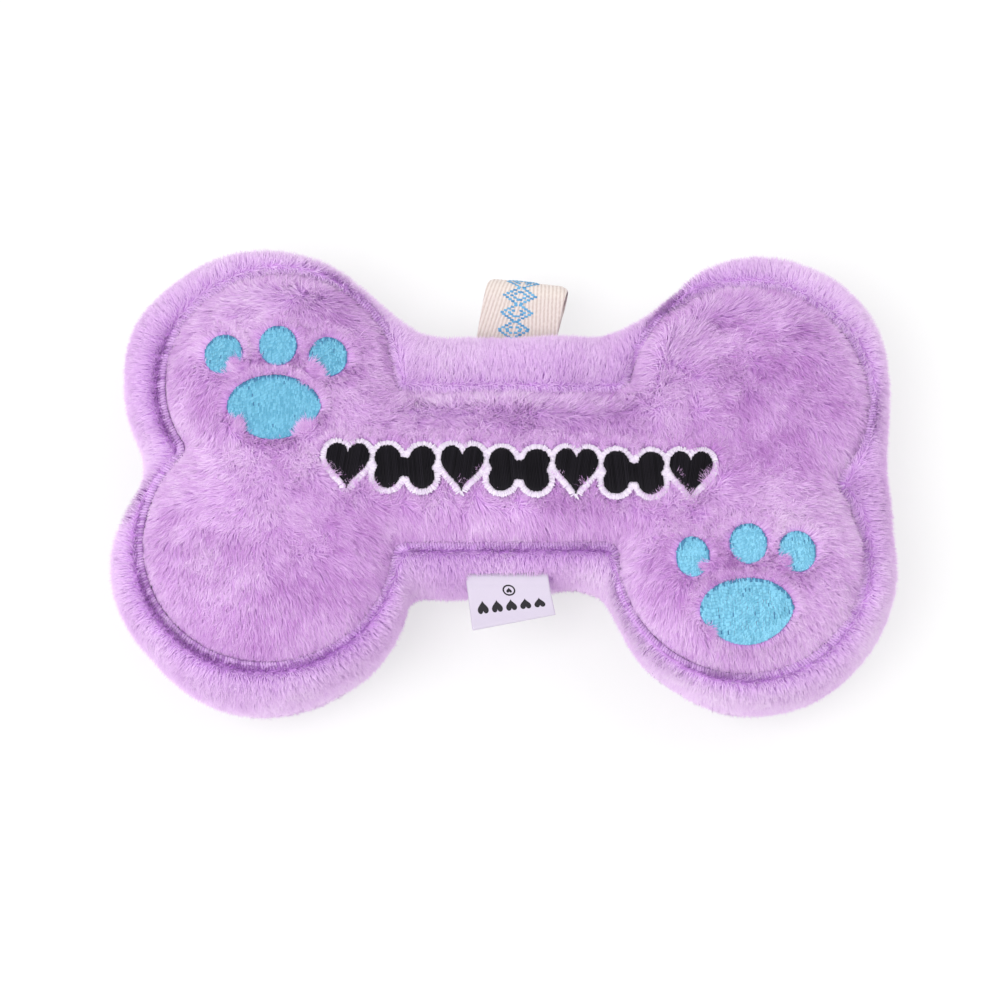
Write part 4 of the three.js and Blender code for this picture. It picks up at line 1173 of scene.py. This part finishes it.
SEWN_AT = 0.02 - PATCH_SUNK
PATCH_DEEP = 4.6
for name, shape, place in PATCHES:
    a, b = fill_stitches(shape, pitch=0.36, reach=0.95, ragged=0.2)
    gap, way = edge_distance(b, shape)
    # Stitches along each patch's upper edge, and a few at random, are darkened: painted shadow where the edge sinks
    # under the pile and in sunk stitches.
    shaded = (gap < 0.3) & (way[:, 1] > -0.3) & (rng.random(len(b)) < 0.55)
    shaded |= rng.random(len(b)) < 0.012
    a, b = raised(a, place, SEWN_AT), raised(b, place, SEWN_AT)
    tones = (0.4, 1.0) if name.startswith("lower") else (0.2, 0.74)
    threads = stitches(a, b, place[3], width=0.4, height=0.26, tones=tones, painted_shade=shaded)
    parts = [slab(shape, place, -PATCH_DEEP, -PATCH_SUNK), threads]
    parts = [(lay_down(verts, place, SEWN_AT), faces, uv) for verts, faces, uv in parts]
    embroidered(name + "_embroidery", parts, turquoise, "turquoise_thread", name)

ROW_X = np.array([math.cos(ROW_TURN), math.sin(ROW_TURN), 0])
ROW_Y = np.array([-math.sin(ROW_TURN), math.cos(ROW_TURN), 0])
ROW_PLACE = (np.array([*ROW_AT, 0]), ROW_X, ROW_Y, UP)
PLATE_LOW, PLATE_TOP = 40.2, 40.85
MOTIF_LOW, MOTIF_TOP = 41.0, 41.55


def border_plate():
    """The plate under the white border, scanned from the motifs' grown outlines."""
    shapes = motif_shapes(1.5)
    across = np.concatenate(shapes)[:, 0]
    lower, upper = [], []
    for x in np.linspace(across.min() + 0.02, across.max() - 0.02, 220):
        heights = [y for shape in shapes for pair in spans(shape, x) for y in pair]
        lower.append((x, min(heights)))
        upper.append((x, max(heights)))
    edges = [(upper, PLATE_LOW), (upper, PLATE_TOP), (lower, PLATE_TOP), (lower, PLATE_LOW)]
    verts, faces = loft(np.stack([raised(np.array(edge), ROW_PLACE, z) for edge, z in edges], 1))
    last = len(verts) - 4
    return verts, faces.tolist() + [[3, 2, 1, 0], [last, last + 1, last + 2, last + 3]], plate_uv(verts, 0.6)


def border_stitches(shape, others):
    """Stitches out of a motif's edge, but for those that would reach into another motif."""
    line, along, out = along_ring(shape, pitch=0.38, spare=0)
    start = line - out * 0.2 + along * rng.normal(0, 0.08, (len(line), 1))
    end = line + out * (1.75 + rng.normal(0, 0.09, (len(line), 1))) + along * rng.normal(0, 0.1, (len(line), 1))
    free = np.all([edge_distance(end, other)[0] < 0.1 for other in others], axis=0)
    z = PLATE_TOP + 0.05 + rng.uniform(0, 0.08)
    start, end = raised(start[free], ROW_PLACE, z), raised(end[free], ROW_PLACE, z - 0.1)
    return stitches(start, end, UP, width=0.44, height=0.32)


parts, shapes = [border_plate()], motif_shapes()
for shape in shapes:
    parts.append(border_stitches(shape, [other for other in shapes if other is not shape]))
embroidered("motif_border_embroidery", parts, white, "white_thread", "motif_border")

for number, (kind, middle) in enumerate(zip(KINDS, MIDDLES), 1):
    shape, place = motif_outline(kind), (ROW_PLACE[0] + ROW_X * middle, *ROW_PLACE[1:])
    lines = fill_stitches(shape, pitch=0.4, reach=None, ragged=0.35, slant=0.12 * (-1) ** number)
    a, b = (raised(end, place, MOTIF_TOP) for end in lines)
    parts = [slab(shape, place, MOTIF_LOW, MOTIF_TOP), stitches(a, b, UP, width=0.46, height=0.5)]
    embroidered(f"motif_{kind}_{number}_embroidery", parts, black, "black_thread", f"motif_{kind}_{number}")

SATIN_LOW, SATIN_TOP = 29.3, 30.15


def satin_parts():
    inner, outer = outline_at(INNER, -0.2), outline_at(INNER, -2.45)
    section = ((inner, SATIN_LOW), (outer, SATIN_LOW), (outer, SATIN_TOP), (inner, SATIN_TOP))
    verts, faces = loft([lift(ring, z) for ring, z in section], closed=True)
    line, along, out = along_ring(outline_at(INNER, -1.3), pitch=0.74)
    n = len(line)
    half = out * (1.12 + 0.08 * rng.normal(0, 1, (n, 1)))
    half = half + along * (0.25 + rng.normal(0, 0.07, (n, 1)))
    a, b = lift(line - half, SATIN_TOP + 0.05), lift(line + half, SATIN_TOP + 0.05)
    # One satin stitch in ten is darkened at random: painted shade of sunk stitches.
    threads = stitches(a, b, UP, width=0.62, height=0.62, tones=(0.45, 1.0), painted_shade=rng.random(n) < 0.1)
    return [(verts, faces, plate_uv(verts, 0.08)), threads]


embroidered("inner_bone_satin_stitches", satin_parts(), lilac, "lilac_thread", "inner_bone_satin_border")


# --- tape loop
BAND_WIDTH = 22.0


def strip(name, path, place, mat, thickness, columns, relief=None):
    """A band along a path of (outward, height), with place() putting each point in the toy's frame.

    It comes with a function for points on it: across, along, and off it to the left of the path."""
    normal, run = to_the_left(path), run_along(path)
    us = np.linspace(-BAND_WIDTH / 2, BAND_WIDTH / 2, columns)
    u, r = np.meshgrid(np.concatenate([us, us[::-1]]), run)
    off = thickness / 2 * np.minimum(1, (BAND_WIDTH / 2 - np.abs(u)) / 0.5 + 0.45)
    if relief:
        off = off + relief(u, r)
    off[:, columns:] *= -1
    verts, faces = loft(place(u, path[:, :1] + normal[:, :1] * off, path[:, 1:] + normal[:, 1:] * off))
    i = np.arange(columns - 1)
    j = 2 * columns - 1 - i
    end = np.stack([i, j, j - 1, i + 1], 1)
    faces = np.concatenate([faces, end, end[:, ::-1] + len(verts) - 2 * columns])
    o = new_object(name, verts, faces.tolist(), mat)
    put_uv(o, np.stack([u / BAND_WIDTH + 0.5, r / run[-1]], 2).reshape(-1, 2) * MAP_SHARE + MAP_EDGE)

    def on(across, along, away):
        at = read_off(path, run, along) + read_off(normal, run, along) * away
        return place(across, at[:, 0], at[:, 1])

    return o, on


LOOP_X, LOOP_Y, LOOP_Z = 3.54, 41.38, 18.0


def loop_place(u, out, z):
    corner = np.clip((np.abs(u) - 8.8) / 2.2, 0, 1) ** 2 * np.clip((out - 8) / 8, 0, 1)
    skewed = out - 0.12 * u * np.clip(out / 16.8, 0, 1.2) - 1.1 * corner
    return np.stack(np.broadcast_arrays(LOOP_X + u + 0.2 * out, LOOP_Y + skewed, LOOP_Z + z), -1)


def loop_path():
    radius, middle, half = 4.35, 12.0, 0.42
    tilt = math.asin((radius - half) / middle)
    turn = np.linspace(-math.pi / 2 - tilt, math.pi / 2 + tilt, 30)
    bend = np.stack([middle + radius * np.cos(turn), radius * np.sin(turn)], 1)
    tail = np.stack([np.linspace(-7.4, 0, 8), np.full(8, -half)], 1)
    rise = tail[-1] + (bend[0] - tail[-1]) * np.linspace(0, 1, 14)[1:-1, None]
    lower = np.concatenate([tail, rise, bend[:15]])
    return evenly(np.concatenate([lower, lower[::-1] * np.array([1, -1])]), 0.32)[0]


RIB, RIB_LEAN, RIB_HEIGHT = 1.05, 0.15, 0.06
HERRINGBONE_MIDDLE = 0.5
BLUE_MIDDLE = -1.2


def herringbone(u, r):
    """Ribs that lean both ways from the middle of the tape."""
    place = np.abs(u - HERRINGBONE_MIDDLE) - RIB_LEAN * np.abs(r - tape_length / 2)
    return RIB_HEIGHT * np.sin(place / RIB * FULL_TURN)


def tape_material():
    """Cream twill: pale ribs with darker furrows where herringbone() dips, and slubs along the ribs."""
    m, tree, shader = material("cream_twill", roughness=0.92, sheen=0.25, specular=0.2)
    uv, u, v = bake_map(tree)

    def maths(kind, *terms):
        return add(tree, "Math", dict(enumerate(terms)), operation=kind).outputs[0]

    def away_from(middle, coordinate, length):
        full = length / MAP_SHARE
        place = maths("MULTIPLY", coordinate, full)
        return maths("ABSOLUTE", maths("SUBTRACT", place, middle + MAP_EDGE * full))

    across = away_from(BAND_WIDTH / 2 + HERRINGBONE_MIDDLE, u, BAND_WIDTH)
    lean = maths("MULTIPLY", away_from(tape_length / 2, v, tape_length), RIB_LEAN)
    rib = maths("SINE", maths("MULTIPLY", maths("SUBTRACT", across, lean), FULL_TURN / RIB))
    slubs = add(tree, "TexNoise", {"Vector": uv, "Scale": 60, "Detail": 3}).outputs["Fac"]
    level = maths("ADD", maths("MULTIPLY", rib, 0.32), slubs)
    shade = ramp(tree, level, (0.2, (204, 189, 182)), (0.5, (221, 208, 202)), (0.85, (229, 219, 213)))
    finish(tree, shader, shade, slubs, strength=0.3)
    return m


def weave_marks():
    """Float stitches of the woven pattern: a chain of lozenges with a smaller one in each."""
    marks = []
    pitch, margin = 4.6, 7.0
    r = margin
    while r < tape_length - margin:
        from_point = abs(2 * (r % pitch) / pitch - 1)
        outer, inner = 3.9 * (1 - from_point) + 0.3, 3.9 * (0.56 - from_point * 1.1)
        marks += [(BLUE_MIDDLE + side * away, r) for side in (-1, 1) for away in (outer, inner) if away > 0.25]
        r += 0.5
    return np.array(marks).T


tape_line = loop_path()
tape_length = float(run_along(tape_line)[-1])
tape, on_tape = strip(
    "ribbon_loop_tape", tape_line, loop_place, tape_material(), thickness=0.55, columns=128, relief=herringbone,
)
blue = thread_material("blue_yarn", (62, 134, 186), (118, 184, 222), roughness=0.6)
u, r = weave_marks()
ups = unit(on_tape(u, r, -1.3) - on_tape(u, r, -0.3))
floats = on_tape(u - 0.52, r, -0.31), on_tape(u + 0.52, r + 0.08, -0.31)
floats = stitches(*floats, ups, width=0.62, height=0.26)
marks = join_parts("ribbon_loop_weave", [floats], blue)
for o in (tape, marks):
    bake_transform(o)
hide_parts("ribbon_loop", "ribbon_loop_tail")


# --- side label
LABEL_X, LABEL_Y, LABEL_Z = 1.428, -32.82, 24.5
LABEL_LINE = [
    (-6.4, -6.0), (-5.9, -2.4), (-5.2, 1.6), (-4.0, 3.5), (-2.0, 3.1), (0, 2.3), (3.0, 1.6), (5.6, 1.2), (8.1, 1.1),
]


def label_place(u, out, z):
    skewed = out - 0.2 * u * np.clip(out / 8.6, 0, 1.3)
    return np.stack(np.broadcast_arrays(LABEL_X + u + 0.16 * out, LABEL_Y - skewed, LABEL_Z + z), -1)


def label_path():
    """The label's fold, seen from its side: out over the pile, round, and back under itself."""
    half = 0.32
    centre = curve_through(LABEL_LINE, 56)
    normal = to_the_left(centre)
    gap = normal * half * np.linspace(0.5, 1, len(centre))[:, None]
    left = normal[-1]
    ahead = np.array([left[1], -left[0]])
    turn = np.linspace(math.pi / 2, -math.pi / 2, 9)[1:-1, None]
    fold = centre[-1] + half * (np.cos(turn) * ahead + np.sin(turn) * left)
    return evenly(np.concatenate([centre + gap, fold, (centre - gap)[::-1]]), 0.3)[0]


def label_material():
    m, tree, shader = material("white_satin", roughness=0.38, sheen=0.3, specular=0.5)
    uv = add(tree, "UVMap", uv_map="OFBake").outputs["UV"]
    sockets = {"Vector": uv, "Scale": 60, "Distortion": 0.6}
    # The wave's stripes run along the satin's threads: partly weave, partly painted sheen.
    threads = add(tree, "TexWave", sockets, bands_direction="X").outputs["Fac"]
    wire(tree, shader, {"Anisotropic": 0.3})
    shade = ramp(tree, threads, (0.0, (194, 185, 204)), (1.0, (206, 197, 214)))
    finish(tree, shader, shade, threads, strength=0.12)
    return m


label_line = label_path()
label_length = float(run_along(label_line)[-1])
label, on_label = strip("side_label_satin", label_line, label_place, label_material(), thickness=0.34, columns=60)


def printed(shape):
    """A thin printed shape on the label, given as across and down from the fold's middle."""
    points, faces = triangulated(shape)
    return on_label(points[:, 0], label_length / 2 - points[:, 1], 0.2), faces, 0.5 + points * 0.01


def small_heart(width, height, count, x, y):
    return heart_outline(width, height, count) * np.array([1, -1]) + np.array([x, y])


def ink_material():
    m, tree, shader = material("label_ink", roughness=0.6, sheen=0, specular=0.3)
    grain = add(tree, "TexNoise", {"Scale": 900}).outputs["Fac"]
    wire(tree, shader, {"Base Color": ramp(tree, grain, (0.3, (14, 12, 17)), (0.7, (34, 30, 38)))})
    return m


ring = oval(3.4, 3.0, 28)
inner = ring * (1 - 0.42 / np.linalg.norm(ring, axis=1))[:, None]
shapes = [small_heart(2.9, 3.1, 28, (k - 2) * 3.75, 4.5) for k in range(5)]
shapes += list(np.stack([ring, np.roll(ring, -1, 0), np.roll(inner, -1, 0), inner], 1) + np.array([0, 8.4]))
shapes.append(small_heart(1.5, 1.4, 20, 0, 8.4))
print_marks = join_parts("side_label_print", [printed(shape) for shape in shapes], ink_material())
for o in (label, print_marks):
    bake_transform(o)
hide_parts("side_label", "side_label_tail")


# --- inside: thread, stuffing, pouch, squeaker
SEAM_HEIGHT = 18
SEAM_INSET = 8.1
POUCH = np.array([1.49, 0.68])
POUCH_SEAM = 19.9


def tube(path, radius, sides=6):
    """A thread along a path, as a part to join."""
    along = unit(np.gradient(path, axis=0))
    side = unit(np.cross(along, np.array([0.03, 0.02, 1.0])))
    up = np.cross(side, along)
    turn = (np.arange(sides) / sides * FULL_TURN)[:, None]
    verts, faces = loft(path[:, None] + radius * (side[:, None] * np.cos(turn) + up[:, None] * np.sin(turn)))
    last = len(verts) - sides
    faces = faces.tolist() + [list(range(sides))[::-1], [last + k for k in range(sides)]]
    tone = 0.1 + 0.8 * (np.arange(len(path)) % 37) / 37
    return verts, faces, np.stack([np.repeat(tone, sides), np.tile(turn[:, 0] / FULL_TURN, len(path))], 1)


def sewn(name, path, radius, node):
    dress(join_parts(name, [tube(path, radius)], lilac), "back", "lilac_thread", node)


seam_ring = outline_at(BODY, SEAM_INSET)
in_opening = (seam_ring[:, 0] < -83) & (seam_ring[:, 1] > -48.6) & (seam_ring[:, 1] < -19.2)
first = int(np.nonzero(in_opening & ~np.roll(in_opening, 1))[0][0])
seam_ring, opened = np.roll(seam_ring, -first, 0), int(in_opening.sum())
line, places = evenly(seam_ring[opened:], 0.5)
zigzag = 0.28 * np.sin(places / 3.0 * FULL_TURN)
sewn("perimeter_seam_stitches", lift(line, SEAM_HEIGHT + zigzag), 0.24, "perimeter_seam_thread")
line, places = evenly(seam_ring[:opened + 1], 0.3)
ladder = 1.2 * np.clip(2.4 * np.sin(places / places[-1] * 5 * FULL_TURN + 0.8), -1, 1)
sewn("closing_seam_stitches", lift(line, SEAM_HEIGHT + ladder), 0.28, "closing_seam_thread")

turn = np.linspace(0, FULL_TURN, 361)
low, high = (corner[2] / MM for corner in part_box("pouch_stitch"))
overcast = (low + high) / 2 + (0.45 * (high - low) - 0.2) * np.sin(turn * 40)
ring = POUCH + POUCH_SEAM * np.stack([np.cos(turn), np.sin(turn)], 1)
sewn("pouch_edge_stitches", lift(ring, overcast), 0.2, "pouch_stitch")


def shaped_copy(node, name, mat, voxel=None, levels=0):
    """A welded copy of a CAD solid's mesh, to be worked into cloth or stuffing."""
    o = bpy.data.objects.new(name, frame["nodes"][node].data.copy())
    bpy.context.scene.collection.objects.link(o)
    o.data.materials.clear()
    o.data.materials.append(mat)
    bm = bmesh.new()
    bm.from_mesh(o.data)
    bmesh.ops.remove_doubles(bm, verts=bm.verts, dist=1e-6)
    bm.to_mesh(o.data)
    bm.free()
    if voxel:
        mod = o.modifiers.new("remesh", "REMESH")
        mod.mode = "VOXEL"
        mod.voxel_size = voxel * MM
    apply_modifiers(o)
    if levels:
        subdivide(o, "SIMPLE", levels)
    o.data.shade_smooth()
    return o


fibre = grain_material("polyester_fibre", (226, 226, 224), (250, 250, 248), size=0.9, roughness=0.95, bump=0.8)
for node in ("fibre_fill_back", "fibre_fill_front"):
    o = shaped_copy(node, node + "_wadding", fibre, voxel=2.4)
    co = coordinates(o)
    sink = np.clip(0.75 + waves(co, (0.45, 6, 61), (0.3, 2.6, 62)), 0.1, 1.5)
    move_to(o, co - read(o.data.vertices, "normal") * sink[:, None])
    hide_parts(node)
    if node == "fibre_fill_front":
        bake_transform(o)
    else:
        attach(o, "back")

cotton = grain_material("pouch_cotton", (214, 210, 202), (234, 231, 224), size=0.35, roughness=0.95, bump=0.5)
for node, up in (("pouch_back", -1), ("pouch_front", 1)):
    o = shaped_copy(node, node + "_cloth", cotton, levels=2)
    co = coordinates(o)
    off = co[:, :2] - POUCH
    r, a = np.linalg.norm(off, axis=1), np.arctan2(off[:, 1], off[:, 0])
    gathers = smooth(r, 11, 17.5) * (1 - smooth(r, 18.2, 19.2))
    fold = 0.22 * gathers * np.sin(a * 26 + 1.5 * np.sin(a * 5))
    co[:, :2] += off / np.maximum(r, 1e-6)[:, None] * fold[:, None] * 0.5
    co[:, 2] += fold * up - 0.05 * wave(co, 3, 66)
    move_to(o, co)
    dress(o, "back", "pouch_cloth", node)
    if node == "pouch_front":
        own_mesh(o)

PLASTIC = dict(sheen=0, specular=0.5, detail=4, spread=0.15, depth=0.1, bump=0.15)
bulb_mat = grain_material("soft_vinyl", (226, 226, 222), (242, 242, 238), size=3.0, roughness=0.45, **PLASTIC)
reed_mat = grain_material("clear_styrene", (222, 228, 232), (238, 242, 244), size=2.0, roughness=0.25, **PLASTIC)
bulb = shaped_copy("squeaker_bulb", "squeaker_bulb_skin", bulb_mat)
dress(bulb, "back", "bulb_plastic", "squeaker_bulb")
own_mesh(bulb)
for node in ("reed_holder", "reed_seat", "reed_clamp", "reed_tongue"):
    frame["nodes"][node].material_slots[0].material = reed_mat
